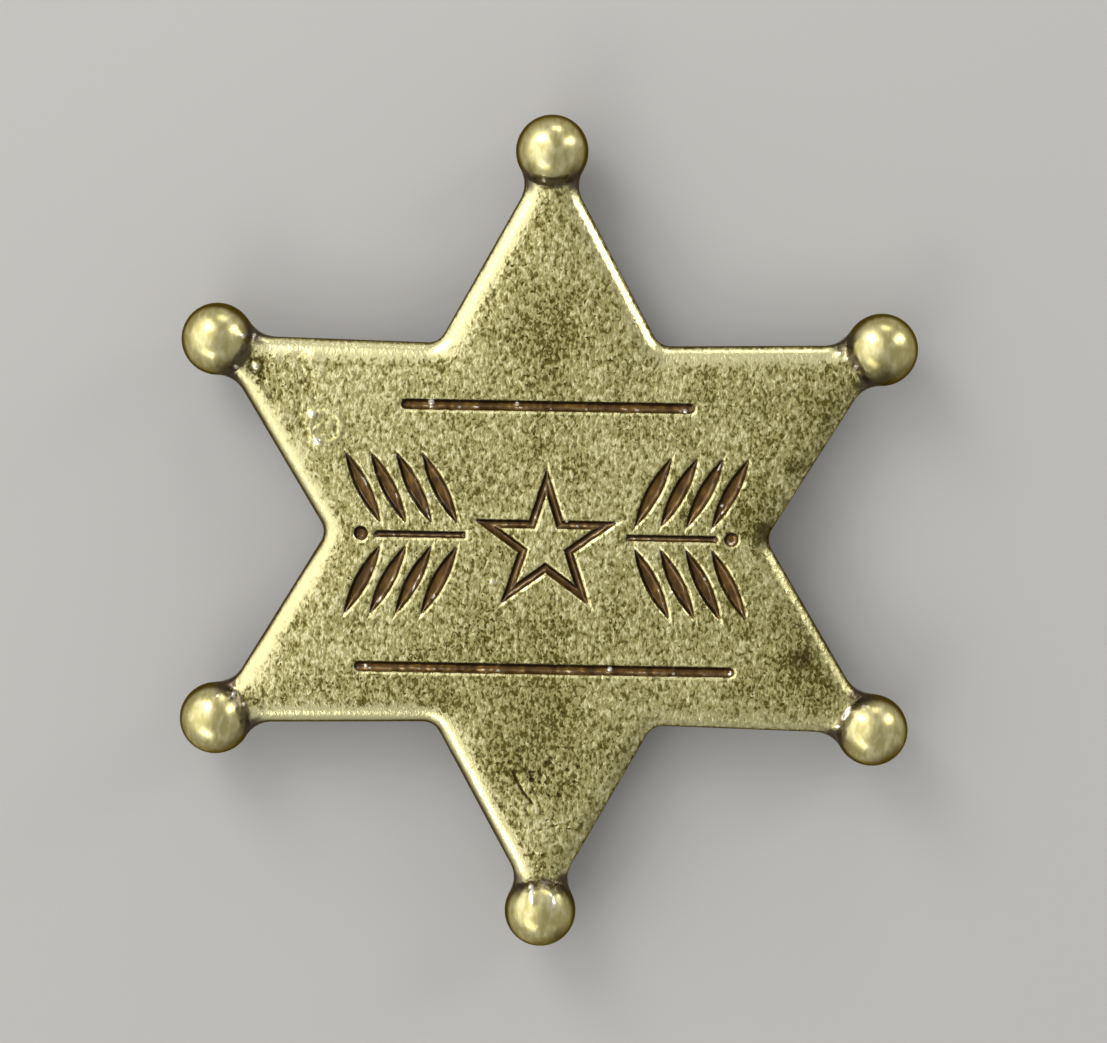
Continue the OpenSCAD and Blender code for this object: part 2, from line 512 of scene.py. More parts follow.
    def level_points(self, level: float) -> Array:
        """Points along the line that runs at one distance from the engraved shapes.

        Args:
            level: The distance, negative inside the shapes.

        Returns:
            The points, one row each.
        """
        outer, inner = self.star_edges
        rows = [self.star_path(outer + level), self.star_path(inner - level)]
        half = (self.stem_to - self.stem_from) / 2 + level
        quarter = []
        if self.stem_line / 2 + level > 0:
            x, h = (self.stem_from + self.stem_to) / 2, self.stem_line / 2 + level
            quarter.append(self.path([(x - half, h), (x + half, h)], closed=False))
            quarter += [self.path([(x + half * s, 0.0), (x + half * s, h)], closed=False) for s in (-1, 1)]
        quarter += [self.leaf_path(root, level) for root in self.leaf_roots()]
        for sx in (-1.0, 1.0):
            for sy in (-1.0, 1.0):
                rows += [q * [sx, sy] for q in quarter]
            if self.berry_d / 2 + level > 0:
                rows.append(self.round_path(0.0, self.berry_d / 2 + level, sx * self.berry_x, 0.0))
        for height, length in self.lines.items():
            radius = self.line_w / 2 + level
            if radius > 0:
                rows.append(self.round_path((length - self.line_w) / 2, radius, 0.0, height))
        points = np.vstack(rows)
        return points[np.abs(self.distance(points) - level) < self.point_slack]


@dataclass(frozen=True)
class Mark:
    """A bubble, a drop or a pit, or the rim of one where ring_w is set, in millimetres.

    Attributes:
        x: Place across.
        y: Place up.
        radius: Radius of the mark, or of its rim.
        height: Height over the face, negative for a pit.
        ring_w: Width of the rim, 0 for a full mark.
        strength: How bright a raised mark is polished, with a painted glint where it is strongest, or how
            dark a sunk one is tarnished.
        dense_step: Distance of the mesh's points on it.
    """

    x: float
    y: float
    radius: float
    height: float
    ring_w: float = 0.0
    strength: float = 1.0
    dense_step: float = 0.09

    def amount(self, points: Array) -> Array:
        """Share of the mark's height at each of the given places.

        Args:
            points: Places in millimetres, one row each.

        Returns:
            One share for each place.
        """
        r = np.hypot(points[:, 0] - self.x, points[:, 1] - self.y)
        if self.ring_w:
            return np.exp(-(((r - self.radius) / self.ring_w) ** 2))
        return np.exp(-((r / self.radius) ** 2))

    def close_points(self) -> Array:
        """Close grid of points that the mesh needs to show the mark.

        Returns:
            The points, one row each.
        """
        half = self.radius + 2 * self.ring_w if self.ring_w else 2 * self.radius
        axis = np.arange(-half, half, self.dense_step)
        x, y = np.meshgrid(axis, axis)
        return np.c_[x.ravel() + self.x, y.ravel() + self.y]


@dataclass(frozen=True)
class Scratch:
    """A fine furrow in the face, or a fine ridge, through a few corners, in millimetres.

    Attributes:
        corners: Places that it runs through.
        width: Half its width.
        height: Height over the face, negative for a furrow.
        strength: How bright a ridge is polished, with a painted glint where it is strongest, or how dark a
            furrow is tarnished.
        dense_step: Distance of the mesh's points along and across it.
        side_rows: Rows of the mesh's points on each side of it.
    """

    corners: tuple[tuple[float, float], ...]
    width: float
    height: float
    strength: float = 0.3
    dense_step: float = 0.08
    side_rows: int = 2

    def pieces(self) -> list[tuple[Array, Array]]:
        """Start and run of each straight piece."""
        corners = [np.array(c) for c in self.corners]
        return [(a, b - a) for a, b in zip(corners, corners[1:])]

    def amount(self, points: Array) -> Array:
        """Share of the furrow's depth at each of the given places.

        Args:
            points: Places in millimetres, one row each.

        Returns:
            One share for each place.
        """
        best = np.full(len(points), np.inf)
        for start, run in self.pieces():
            t = np.clip((points - start) @ run / (run @ run), 0.0, 1.0)
            best = np.minimum(best, np.hypot(*(points - start - t[:, None] * run).T))
        return np.exp(-((best / self.width) ** 2))

    def close_points(self) -> Array:
        """Rows of points along the furrow and on both sides of it.

        Returns:
            The points, one row each.
        """
        rows = []
        for start, run in self.pieces():
            t = np.arange(0.0, 1.0, self.dense_step / np.hypot(*run))
            across = np.array([-run[1], run[0]]) / np.hypot(*run)
            for k in range(-self.side_rows, self.side_rows + 1):
                rows.append(start + t[:, None] * run + k * self.dense_step * across)
        return np.vstack(rows)


@dataclass(frozen=True)
class PitCluster:
    """A loose group of small pits, in millimetres.

    Attributes:
        x: Place of its middle across.
        y: Place of its middle up.
        spread: How far the pits lie apart, across and up.
        count: Number of pits.
        seed: Seed of their places.
        sizes: Least and greatest radius of a pit.
        depth: Depth of each pit.
    """

    x: float
    y: float
    spread: tuple[float, float]
    count: int
    seed: int
    sizes: tuple[float, float] = (0.06, 0.12)
    depth: float = 0.06

    def marks(self) -> tuple[Mark, ...]:
        """Makes the group.

        Returns:
            The pits, in the order in which their places are drawn.
        """
        rng = np.random.default_rng(self.seed)
        places = rng.normal((self.x, self.y), self.spread, (self.count, 2))
        radii = rng.uniform(*self.sizes, self.count)
        return tuple(Mark(float(x), float(y), float(r), -self.depth) for (x, y), r in zip(places, radii))


@dataclass(frozen=True)
class StainAndShade:
    """A darker patch on the face, lighter where its strength is negative, in millimetres; small ones are
    tarnish spots, broad ones are painted light and shade.
    """

    x: float
    y: float
    radius: float
    strength: float

    def amount(self, points: Array) -> Array:
        """Darkening that the patch gives each of the given places."""
        r = np.hypot(points[:, 0] - self.x, points[:, 1] - self.y)
        return self.strength * np.exp(-((r / self.radius) ** 2))


class Graph:
    """Node tree of a material or of the world, built by short calls that return sockets."""

    def __init__(self, tree: bpy.types.NodeTree) -> None:
        """Starts with an empty tree."""
        self.tree = tree
        tree.nodes.clear()

    def node(self, kind: str, inputs: dict[Any, Any] | None = None, **settings: Any) -> bpy.types.Node:
        """Adds a node.

        Args:
            kind: Blender's name of the node type, without its ShaderNode prefix.
            inputs: Values or sockets for its inputs, by name or by number.
            settings: Properties to set on the node first.

        Returns:
            The new node.
        """
        made = self.tree.nodes.new("ShaderNode" + kind)
        for key, value in settings.items():
            setattr(made, key, value)
        for key, value in (inputs or {}).items():
            self.feed(made.inputs[key], value)
        return made

    def feed(self, target: Socket, value: Any) -> None:
        """Links a socket to an input, or sets the input to a value.

        Args:
            target: The input.
            value: A socket, a number or a tuple; a colour has three numbers.
        """
        if isinstance(value, bpy.types.NodeSocket):
            self.tree.links.new(value, target)
        elif isinstance(value, tuple) and len(value) == 3 and target.type == "RGBA":
            target.default_value = (*value, 1.0)
        else:
            target.default_value = value

    def math(self, operation: str, a: Any, b: Any = 0.0) -> Socket:
        """Result of a sum on two numbers."""
        return self.node("Math", {0: a, 1: b}, operation=operation).outputs[0]

    def product(self, *factors: Any) -> Socket:
        """Product of two or more numbers."""
        return reduce(lambda a, b: self.math("MULTIPLY", a, b), factors)

    def largest(self, *values: Any) -> Socket:
        """Largest of two or more numbers."""
        return reduce(lambda a, b: self.math("MAXIMUM", a, b), values)

    def plus(self, a: Any, b: Any, share: float) -> Socket:
        """Sum of a number and a share of another."""
        return self.math("ADD", a, self.math("MULTIPLY", b, share))

    def ramp(self, value: Any, ramp: Ramp) -> Socket:
        """Output of a ramp for a number.

        Args:
            value: The number or socket to test.
            ramp: The ramp.

        Returns:
            The output, in the ramp's output range.
        """
        inputs = {
            "Value": value,
            "From Min": ramp.start,
            "From Max": ramp.end,
            "To Min": ramp.first,
            "To Max": ramp.last,
        }
        return self.node("MapRange", inputs, interpolation_type="SMOOTHSTEP").outputs[0]

    def mix(self, share: Any, a: Any, b: Any, blend: str = "MIX") -> Socket:
        """Blend of two colours by a share from 0 to 1."""
        inputs = {0: share, 6: a, 7: b}
        return self.node("Mix", inputs, data_type="RGBA", blend_type=blend).outputs[2]

    def mask(self, mask: Mask) -> Socket:
        """Value that the mesh carries under a name."""
        return self.node("Attribute", attribute_name=mask.value).outputs["Fac"]

    def cloud(self, cloud: Cloud) -> Socket:
        """Noise over the object's coordinates.

        Args:
            cloud: The noise.

        Returns:
            Its value, about 0.5 on average.
        """
        coordinates = self.node("TexCoord").outputs["Object"]
        scale = tuple(1 / (MM * s) for s in cloud.size)
        place = self.node("Mapping", {"Vector": coordinates, "Scale": scale}).outputs[0]
        inputs = {
            "Vector": place,
            "Scale": 1.0,
            "Detail": cloud.detail,
            "Roughness": cloud.rough,
            "Distortion": cloud.twist,
        }
        return self.node("TexNoise", inputs).outputs["Fac"]

    def bump(self, height: Socket, depth: float, strength: float, under: Socket | None = None) -> Socket:
        """Normal of a bumpy surface.

        Args:
            height: Height of the bumps from 0 to 1.
            depth: Height in millimetres that 1 stands for.
            strength: How much of it shows.
            under: Normal of coarser bumps under these.

        Returns:
            The normal.
        """
        inputs = {"Height": height, "Distance": depth * MM, "Strength": strength}
        if under:
            inputs["Normal"] = under
        return self.node("Bump", inputs).outputs[0]

    def close(self, kind: str, output: str, inputs: dict[str, Any]) -> None:
        """Joins the last shader to the tree's output."""
        self.tree.links.new(self.node(kind, inputs).outputs[0], self.node(output).inputs[0])


def new_material(name: str) -> tuple[bpy.types.Material, Graph]:
    """An empty material.

    Args:
        name: Name of the material.

    Returns:
        The material, and the graph that builds it.
    """
    material = bpy.data.materials.new(name)
    material.use_nodes = True
    return material, Graph(material.node_tree)


@dataclass(frozen=True)
class AntiqueBrass:
    """Aged brass plating with burnished edges and balls, and brown lacquer in the engraving, with painted
    highlights, glints and shade.

    Ramps over the inset are in millimetres from the outline inward, and those over the groove in
    millimetres from the engraving's edge outward, negative inside it. Those over the facing go from
    -1 at a groove's shaded wall to 1 at its lit wall, and the others read a share or a noise.
    """

    name: str = "antique_brass"

    # Colours.
    fleck_dark: Triple = (0.112, 0.094, 0.021)
    fleck_mid: Triple = (0.380, 0.342, 0.136)
    fleck_bright: Triple = (0.720, 0.675, 0.372)
    spot: Triple = (0.070, 0.056, 0.010)
    # Bright metal of worn edges, with painted highlights on the brims, the lit lips and the sides toward the
    # light.
    burnish_and_highlight: Triple = (0.680, 0.630, 0.335)
    # Painted glint: near-white colour laid on the drops, the strongest raised marks and the lacquer's lit
    # ridge.
    painted_glint: Triple = (0.920, 0.870, 0.740)
    ball_brass: Triple = (0.460, 0.400, 0.160)
    ball_bright: Triple = (0.660, 0.605, 0.320)
    # Dark rim: patina low on the edges, with painted shade on the rims, the back and the shaded side of the
    # balls.
    rim_dark: Triple = (0.085, 0.056, 0.020)
    # Crease colours where balls meet arms: olive painted shade in the middle of each neck, brown patina with
    # painted shade at its sides.
    crease_olive: Triple = (0.080, 0.058, 0.018)
    crease_brown: Triple = (0.040, 0.019, 0.009)
    # Tarnish colour, laid on real tarnish spots and on broad patches of painted shade.
    tarnish_and_shade: Triple = (0.040, 0.026, 0.008)
    grazing: Triple = (0.520, 0.440, 0.240)
    # Lacquer colours: brown and amber at random, dark for the painted shade of the shaded wall and a line at
    # the far wall, tan for the painted highlight of the lit ridge.
    lacquer_dark: Triple = (0.014, 0.007, 0.003)
    lacquer_brown: Triple = (0.070, 0.032, 0.003)
    lacquer_amber: Triple = (0.130, 0.066, 0.007)
    lacquer_tan: Triple = (0.230, 0.160, 0.078)

    # Patterns.
    wisps: Cloud = Cloud((0.29, 0.46, 0.42), 2.0, 0.52, 0.5)
    grain: Cloud = Cloud((0.15, 0.26, 0.22), 1.0, 0.50, 0.3)
    spots: Cloud = Cloud((0.28, 0.34, 0.32), 1.0, 0.50, 0.2)
    patch: Cloud = Cloud((3.2, 4.2, 4.0))
    smooth: Cloud = Cloud((0.5, 1.1, 0.9), 2.0, 0.5, 0.4)
    streak: Cloud = Cloud((0.9, 1.2, 1.0))
    spark: Cloud = Cloud((0.55, 0.75, 0.7), 0.0)
    waves: Cloud = Cloud((0.9, 1.1, 1.0), 1.0)

    # Flecks and dark spots of the tumbled face.
    wisp_share: float = 0.74
    grain_share: float = 0.26
    patch_darkens: float = 0.18
    stain_and_shade_darkens: float = 0.10
    dark_to_mid: Ramp = Ramp(0.36, 0.50)
    mid_to_bright: Ramp = Ramp(0.50, 0.64)
    patch_spots: float = 0.45
    stain_and_shade_spots: float = 0.12
    spot_edge: Ramp = Ramp(0.66, 0.74)

    # Wear and painted highlights: broad worn bands set strongest toward the light, a thin brim painted as a
    # highlight, and the engraving's lips painted brighter on their lit side.
    ragged_w: float = 2.4
    worn_from: Ramp = Ramp(0.10, 0.32)
    worn_to: Ramp = Ramp(1.90, 1.00)
    brim_from: Ramp = Ramp(0.16, 0.34)
    brim_to: Ramp = Ramp(0.80, 0.55)
    lip_edge: Ramp = Ramp(0.22, 0.10)
    lip_wear: Ramp = Ramp(0.40, 0.54, 0.25, 1.0)
    lip_facing: Ramp = Ramp(-0.3, 0.5, 0.10, 0.60)

    # Balls, dark rims of patina with painted shade, tarnish and painted shade on the face, and the creases
    # where balls and arms meet, brown patina with painted shade.
    ball_clouds: Ramp = Ramp(0.34, 0.72)
    patch_rim: float = 0.6
    rim_edge: Ramp = Ramp(0.15, 0.95, 0.0, 0.9)
    tarnish_and_shade_edge: Ramp = Ramp(0.42, 1.2, 0.0, 0.85)
    crease_dark_clouds: float = 0.4
    crease_dark_edge: Ramp = Ramp(0.25, 1.0, 0.0, 0.92)
    crease_edge: Ramp = Ramp(0.02, 0.3)
    crease_dark_inside: Ramp = Ramp(1.2, 0.5)

    # Lacquer: the wet edge, the shaded wall painted with shade, a dark line at the far wall, and the lit
    # ridge painted with a highlight and glints.
    wet_edge: Ramp = Ramp(-0.02, -0.08)
    wall_facing: Ramp = Ramp(0.25, -0.25)
    wall_edge: Ramp = Ramp(-0.32, -0.20)
    far_facing: Ramp = Ramp(0.1, 0.5, 0.0, 0.45)
    far_edge: Ramp = Ramp(-0.14, -0.07)
    amber_streaks: Ramp = Ramp(0.40, 0.62)
    ridge_inner: Ramp = Ramp(-0.38, -0.29)
    ridge_outer: Ramp = Ramp(-0.15, -0.23)
    ridge_facing: Ramp = Ramp(0.05, 0.35)
    ridge_streaks: Ramp = Ramp(0.36, 0.60, 0.20, 0.85)
    glint_sparks: Ramp = Ramp(0.66, 0.72, 0.0, 0.7)
    painted_glint_edge: Ramp = Ramp(0.35, 0.8, 0.0, 0.85)

    # Roughness of each layer, bumps and shine.
    face_rough: Ramp = Ramp(0.35, 0.65, 0.52, 0.36)
    bright_rough: float = 0.26
    ball_rough: float = 0.29
    crease_dark_rough: float = 0.24
    wet_rough: float = 0.28
    painted_glint_rough: float = 0.16
    ball_calm: Ramp = Ramp(0.0, 1.0, 1.0, 0.08)
    bright_calm: Ramp = Ramp(0.0, 1.0, 1.0, 0.45)
    spot_depth: float = 0.15
    wave_depth: float = 0.03
    wave_strength: float = 0.5
    fleck_depth: float = 0.08
    pool_depth: float = 0.16
    wet_metal: Ramp = Ramp(0.0, 1.0, 1.0, 0.60)
    wet_coat: float = 0.40
    crease_dark_coat: float = 0.45
    coat_ior: float = 1.55
    coat_rough: float = 0.08

    def make(self) -> bpy.types.Material:
        """Builds the material.

        Returns:
            The material, which reads the masks of the star's mesh.
        """
        material, g = new_material(self.name)
        m = {mask: g.mask(mask) for mask in Mask}
        patch = g.math("SUBTRACT", g.cloud(self.patch), 0.5)
        smooth, spark = g.cloud(self.smooth), g.cloud(self.spark)
        level = self.level(g, m, patch)
        spots = self.dark_spots(g, m, patch)
        bright = self.burnish_and_highlight_share(g, m, level)
        crease_patina_and_shade = self.crease_patina_and_shade(g, m, smooth)
        wet = g.ramp(m[Mask.GROOVE], self.wet_edge)
        painted_glint = g.ramp(m[Mask.POLISH_AND_GLINT], self.painted_glint_edge)

        rim = g.ramp(g.plus(m[Mask.PATINA_AND_SHADE], patch, self.patch_rim), self.rim_edge)
        tarnish_and_shade_share = g.ramp(m[Mask.STAIN_AND_SHADE], self.tarnish_and_shade_edge)
        balls = g.mix(g.ramp(smooth, self.ball_clouds), self.ball_brass, self.ball_bright)
        brown = g.mix(g.ramp(m[Mask.INSET], self.crease_dark_inside), self.crease_olive, self.crease_brown)
        layers = (
            (spots, self.spot, None),
            (bright, self.burnish_and_highlight, self.bright_rough),
            (m[Mask.BALL], balls, self.ball_rough),
            (rim, self.rim_dark, None),
            (tarnish_and_shade_share, self.tarnish_and_shade, None),
            (crease_patina_and_shade, brown, self.crease_dark_rough),
            (wet, self.lacquer(g, m, spark), self.wet_rough),
            (painted_glint, self.painted_glint, self.painted_glint_rough),
        )
        color = g.mix(g.ramp(level, self.dark_to_mid), self.fleck_dark, self.fleck_mid)
        color = g.mix(g.ramp(level, self.mid_to_bright), color, self.fleck_bright)
        rough = g.ramp(level, self.face_rough)
        for share, paint, gloss in layers:
            color = g.mix(share, color, paint)
            if gloss is not None:
                rough = g.mix(share, rough, (gloss, gloss, gloss))

        calm = g.product(
            g.math("SUBTRACT", 1.0, wet),
            g.ramp(m[Mask.BALL], self.ball_calm),
            g.ramp(bright, self.bright_calm),
        )
        height = g.product(g.plus(level, spots, -self.spot_depth), calm)
        pool = g.product(g.math("SUBTRACT", spark, 0.5), g.largest(wet, crease_patina_and_shade))
        normal = g.bump(g.cloud(self.waves), self.wave_depth, self.wave_strength)
        normal = g.bump(height, self.fleck_depth, 1.0, normal)
        normal = g.bump(pool, self.pool_depth, 1.0, normal)
        surface = {
            "Base Color": color,
            "Metallic": g.ramp(wet, self.wet_metal),
            "Roughness": rough,
            "Normal": normal,
            "Specular Tint": self.grazing,
            "Coat Weight": g.largest(g.product(wet, self.wet_coat), g.product(crease_patina_and_shade, self.crease_dark_coat)),
            "Coat IOR": self.coat_ior,
            "Coat Roughness": self.coat_rough,
        }
        g.close("BsdfPrincipled", "OutputMaterial", surface)
        return material

    def level(self, g: Graph, m: dict[Mask, Socket], patch: Socket) -> Socket:
        """Brightness of the flecks, from the wisps, the grain, the broad patches, and the stains with their
        painted light and shade.

        Args:
            g: Graph of the material.
            m: Masks of the mesh.
            patch: Noise of the broad patches, about 0 on average.

        Returns:
            The brightness, about 0.5 on average.
        """
        level = g.product(g.cloud(self.wisps), self.wisp_share)
        level = g.plus(level, g.cloud(self.grain), self.grain_share)
        level = g.plus(level, patch, -self.patch_darkens)
        return g.plus(level, m[Mask.STAIN_AND_SHADE], -self.stain_and_shade_darkens)

    def dark_spots(self, g: Graph, m: dict[Mask, Socket], patch: Socket) -> Socket:
        """Share of the small dark spots, which gather in the broad patches and on the stains and patches of
        painted shade.
        """
        spots = g.plus(g.cloud(self.spots), patch, self.patch_spots)
        return g.ramp(g.plus(spots, m[Mask.STAIN_AND_SHADE], self.stain_and_shade_spots), self.spot_edge)

    def burnish_and_highlight_share(self, g: Graph, m: dict[Mask, Socket], level: Socket) -> Socket:
        """Share of bright metal: worn bands set strongest toward the light, brims painted as a highlight,
        the engraving's lips painted brighter on their lit side, and polished marks with painted glints.

        Args:
            g: Graph of the material.
            m: Masks of the mesh.
            level: Brightness of the flecks, which makes the worn bands ragged.

        Returns:
            The share from 0 to 1.
        """
        inset = m[Mask.INSET]
        ragged = g.plus(inset, g.math("SUBTRACT", 0.5, level), self.ragged_w)
        worn = g.product(g.ramp(inset, self.worn_from), g.ramp(ragged, self.worn_to), m[Mask.WEAR_AND_HIGHLIGHT])
        brim_highlight = g.product(g.ramp(inset, self.brim_from), g.ramp(inset, self.brim_to), m[Mask.BRIM_HIGHLIGHT])
        lip = g.product(
            g.ramp(m[Mask.GROOVE], self.lip_edge),
            g.ramp(level, self.lip_wear),
            g.ramp(m[Mask.FACING], self.lip_facing),
        )
        return g.largest(worn, brim_highlight, lip, m[Mask.POLISH_AND_GLINT])

    def crease_patina_and_shade(self, g: Graph, m: dict[Mask, Socket], smooth: Socket) -> Socket:
        """Share of the dark crease colour where balls and arms meet: brown patina with painted shade.

        Args:
            g: Graph of the material.
            m: Masks of the mesh.
            smooth: Noise that breaks up its edge.

        Returns:
            The share from 0 to 1.
        """
        crease = m[Mask.CREASE]
        cloudy = g.plus(crease, g.math("SUBTRACT", smooth, 0.5), self.crease_dark_clouds)
        return g.product(g.ramp(cloudy, self.crease_dark_edge), g.ramp(crease, self.crease_edge))

    def lacquer(self, g: Graph, m: dict[Mask, Socket], spark: Socket) -> Socket:
        """Colour of the brown lacquer in the engraving.

        Args:
            g: Graph of the material.
            m: Masks of the mesh.
            spark: Noise that places the glints.

        Returns:
            The colour, dark as painted shade on the shaded wall, tan as a painted highlight with a few
            painted glints on the lit ridge.
        """
        groove, facing = m[Mask.GROOVE], m[Mask.FACING]
        streak = g.cloud(self.streak)
        wall = g.product(g.ramp(facing, self.wall_facing), g.ramp(groove, self.wall_edge))
        far = g.product(g.ramp(facing, self.far_facing), g.ramp(groove, self.far_edge))
        ridge = g.product(
            g.ramp(groove, self.ridge_inner),
            g.ramp(groove, self.ridge_outer),
            g.ramp(facing, self.ridge_facing),
        )
        color = g.mix(g.ramp(streak, self.amber_streaks), self.lacquer_brown, self.lacquer_amber)
        color = g.mix(g.largest(wall, far), color, self.lacquer_dark)
        color = g.mix(g.product(ridge, g.ramp(streak, self.ridge_streaks)), color, self.lacquer_tan)
        return g.mix(g.product(ridge, g.ramp(spark, self.glint_sparks)), color, self.painted_glint)


@dataclass(frozen=True)
class PinBrass:
    """Brass-plated steel of the clasp, drawn and satin, with fine lines along the bar."""

    name: str = "pin_brass"
    plate: Triple = (0.70, 0.60, 0.32)
    shade: Triple = (0.42, 0.34, 0.15)
    wear: Triple = (0.80, 0.76, 0.60)
    drawn: Cloud = Cloud((3.0, 0.07, 0.07), 3.0, 0.6)
    patch: Cloud = Cloud((1.6, 1.6, 1.6), 3.0, 0.55)
    lines: Ramp = Ramp(0.30, 0.66)
    worn: Ramp = Ramp(0.56, 0.74)
    dull: Ramp = Ramp(0.42, 0.28, 0.0, 0.7)
    line_rough: Ramp = Ramp(0.3, 0.7, 0.42, 0.26)
    line_depth: float = 0.01
    line_strength: float = 0.6

    def make(self) -> bpy.types.Material:
        """Builds the material.

        Returns:
            The material, which needs no masks.
        """
        material, g = new_material(self.name)
        drawn, patch = g.cloud(self.drawn), g.cloud(self.patch)
        color = g.mix(g.ramp(drawn, self.lines), self.shade, self.plate)
        color = g.mix(g.ramp(patch, self.worn), color, self.wear)
        surface = {
            "Base Color": g.mix(g.ramp(patch, self.dull), color, self.shade),
            "Metallic": 1.0,
            "Roughness": g.ramp(drawn, self.line_rough),
            "Normal": g.bump(drawn, self.line_depth, self.line_strength),
        }
        g.close("BsdfPrincipled", "OutputMaterial", surface)
        return material


@dataclass
class StarBadge:
    """The cast star with its balls, engraving, edge rounding and the marks that it picked up.

    Sizes are in millimetres. Ramps that end in _along count from the ball's centre outward along
    the arm, those in _gap from the ball's centre in any direction, and those in _inset from the
    outline inward.

    Attributes:
        edge_w: Width of the rounded edge of the face.
        edge_power: Power of its curve, 2 for an ellipse.
        crown_inset: How much lower the face is near its edge than in the middle.
        back_bevel: Height of the slanted edge of the back.
        groove: Depth of the engraving over the distance from its edge.
        crease_soft: Softness of the crease between ball and arm on the face.
        back_soft: The same on the back.
        soft_along: Where along the arm that softness starts, and soft_inset where across it.
        back_along: Where along the arm the plate's back starts.
        flat_inset: Where the face's waves and marks start, and flat_ball how the ball's rise ends them.
        bead_inset: Where the drops start.
        waves: Height, width and seed of each of the face's soft waves.
        rim_end: Inset of the innermost loop of the rounded edge.
        levels: Distances from the engraving's edge at which the mesh has points.
        cap_radii: First radius, limit and step of the rings of points about each ball's centre.
        shaded_side: Direction, seen from above, of the side of each ball that is painted with shade.
        lit_side: Direction from the middle of a groove to the wall that catches the light.
        face_from: Height over the middle plane from which a place counts as the face.
        off_face: Distance from the engraving that the rest of the star is given.
        marks: Bubbles, pits and scratches of the flat face.
        beads: Glossy drops and runs at the necks, painted with white glints.
        gloss_spots: Glossy drops on the lacquer, painted with white glints.
        side_blend: Distance over which the values of two arms' sides blend at a notch.
        side_wear_and_highlight: Wear of each arm's two sides, the counterclockwise one first, strongest on
            the sides toward the light as a painted highlight.
        side_brim_highlight: Brightness of the painted highlight on the thin brim of those sides.
        side_dark: How far the dark rim of those sides reaches up; the rim is patina with painted shade, set
            side by side.
    """

    node: str = "star_badge"
    plan: StarPlan = field(default_factory=StarPlan)
    ornament: Ornament = field(default_factory=Ornament)

    # Plate, edge, engraving and creases.
    plate_t: float = 2.5
    edge_w: float = 1.8
    edge_power: float = 2.2
    crown_inset: Ramp = Ramp(3.6, 1.0, 0.0, 0.10)
    back_bevel: float = 0.35
    bevel_soft: float = 0.08
    groove: Ramp = Ramp(0.14, -0.42, 0.0, 0.42)
    crease_soft: float = 1.0
    back_soft: float = 0.2
    least_soft: float = 1e-4
    soft_along: Ramp = Ramp(-0.3, -1.4)
    soft_inset: Ramp = Ramp(0.0, 0.7)
    back_along: Ramp = Ramp(-0.7, -2.5)
    flat_inset: Ramp = Ramp(0.5, 2.0)
    flat_ball: Ramp = Ramp(0.9, 0.1)
    bead_inset: Ramp = Ramp(0.2, 0.6)
    waves: tuple[tuple[float, float, float], ...] = ((0.030, 6.5, 3.1), (0.012, 1.9, 8.7))
    wave_sink: float = 0.02

    # Points of the mesh.
    rim_steps: int = 15
    rim_end: float = 1.86
    wall_rows: int = 3
    levels: tuple[float, ...] = (
        *(0.28, 0.18, 0.12, 0.06, 0.01, -0.04),
        *(-0.09, -0.15, -0.22, -0.30, -0.39, -0.50),
    )
    loop_room: float = 0.1
    groove_room: float = 0.16
    face_step: float = 0.42
    face_room: float = 0.15
    face_gap: float = 0.055
    face_seed: int = 5
    back_step: float = 0.9
    back_room: float = 0.3
    back_gap: float = 0.1
    back_seed: int = 6
    shuffle: float = 0.22
    cap_radii: tuple[float, float, float] = (0.25, 3.3, 0.16)
    cap_step: float = 0.2
    weld_digits: int = 4

    # Masks for the finish.
    shaded_side: tuple[float, float] = (0.5, -0.87)
    lit_side: tuple[float, float] = (0.76, -0.65)
    facing_step: float = 0.02
    face_from: float = 0.3
    off_face: float = 2.0
    inner_along: Ramp = Ramp(-0.5, -1.3)
    outer_along: Ramp = Ramp(-2.1, -0.9)
    ball_gap: Ramp = Ramp(2.9, 2.1)
    neck_in_gap: Ramp = Ramp(1.75, 2.2)
    neck_out_gap: Ramp = Ramp(3.3, 2.6)
    neck_along: Ramp = Ramp(-1.2, -2.3)
    side_neck_at: float = -2.4
    side_neck_w: float = 1.1
    side_neck_inset: Ramp = Ramp(1.25, 0.5)
    pit_tarnish: float = 1.5
    dark_reach: float = 0.30
    rim_height: Ramp = Ramp(0.50, 0.08)
    ball_rim_height: Ramp = Ramp(0.68, 0.28)
    # Painted shade on the side of each ball away from the light.
    ball_shade: Ramp = Ramp(0.25, 0.95, 0.0, 0.75)
    ball_shade_to: float = 2.9

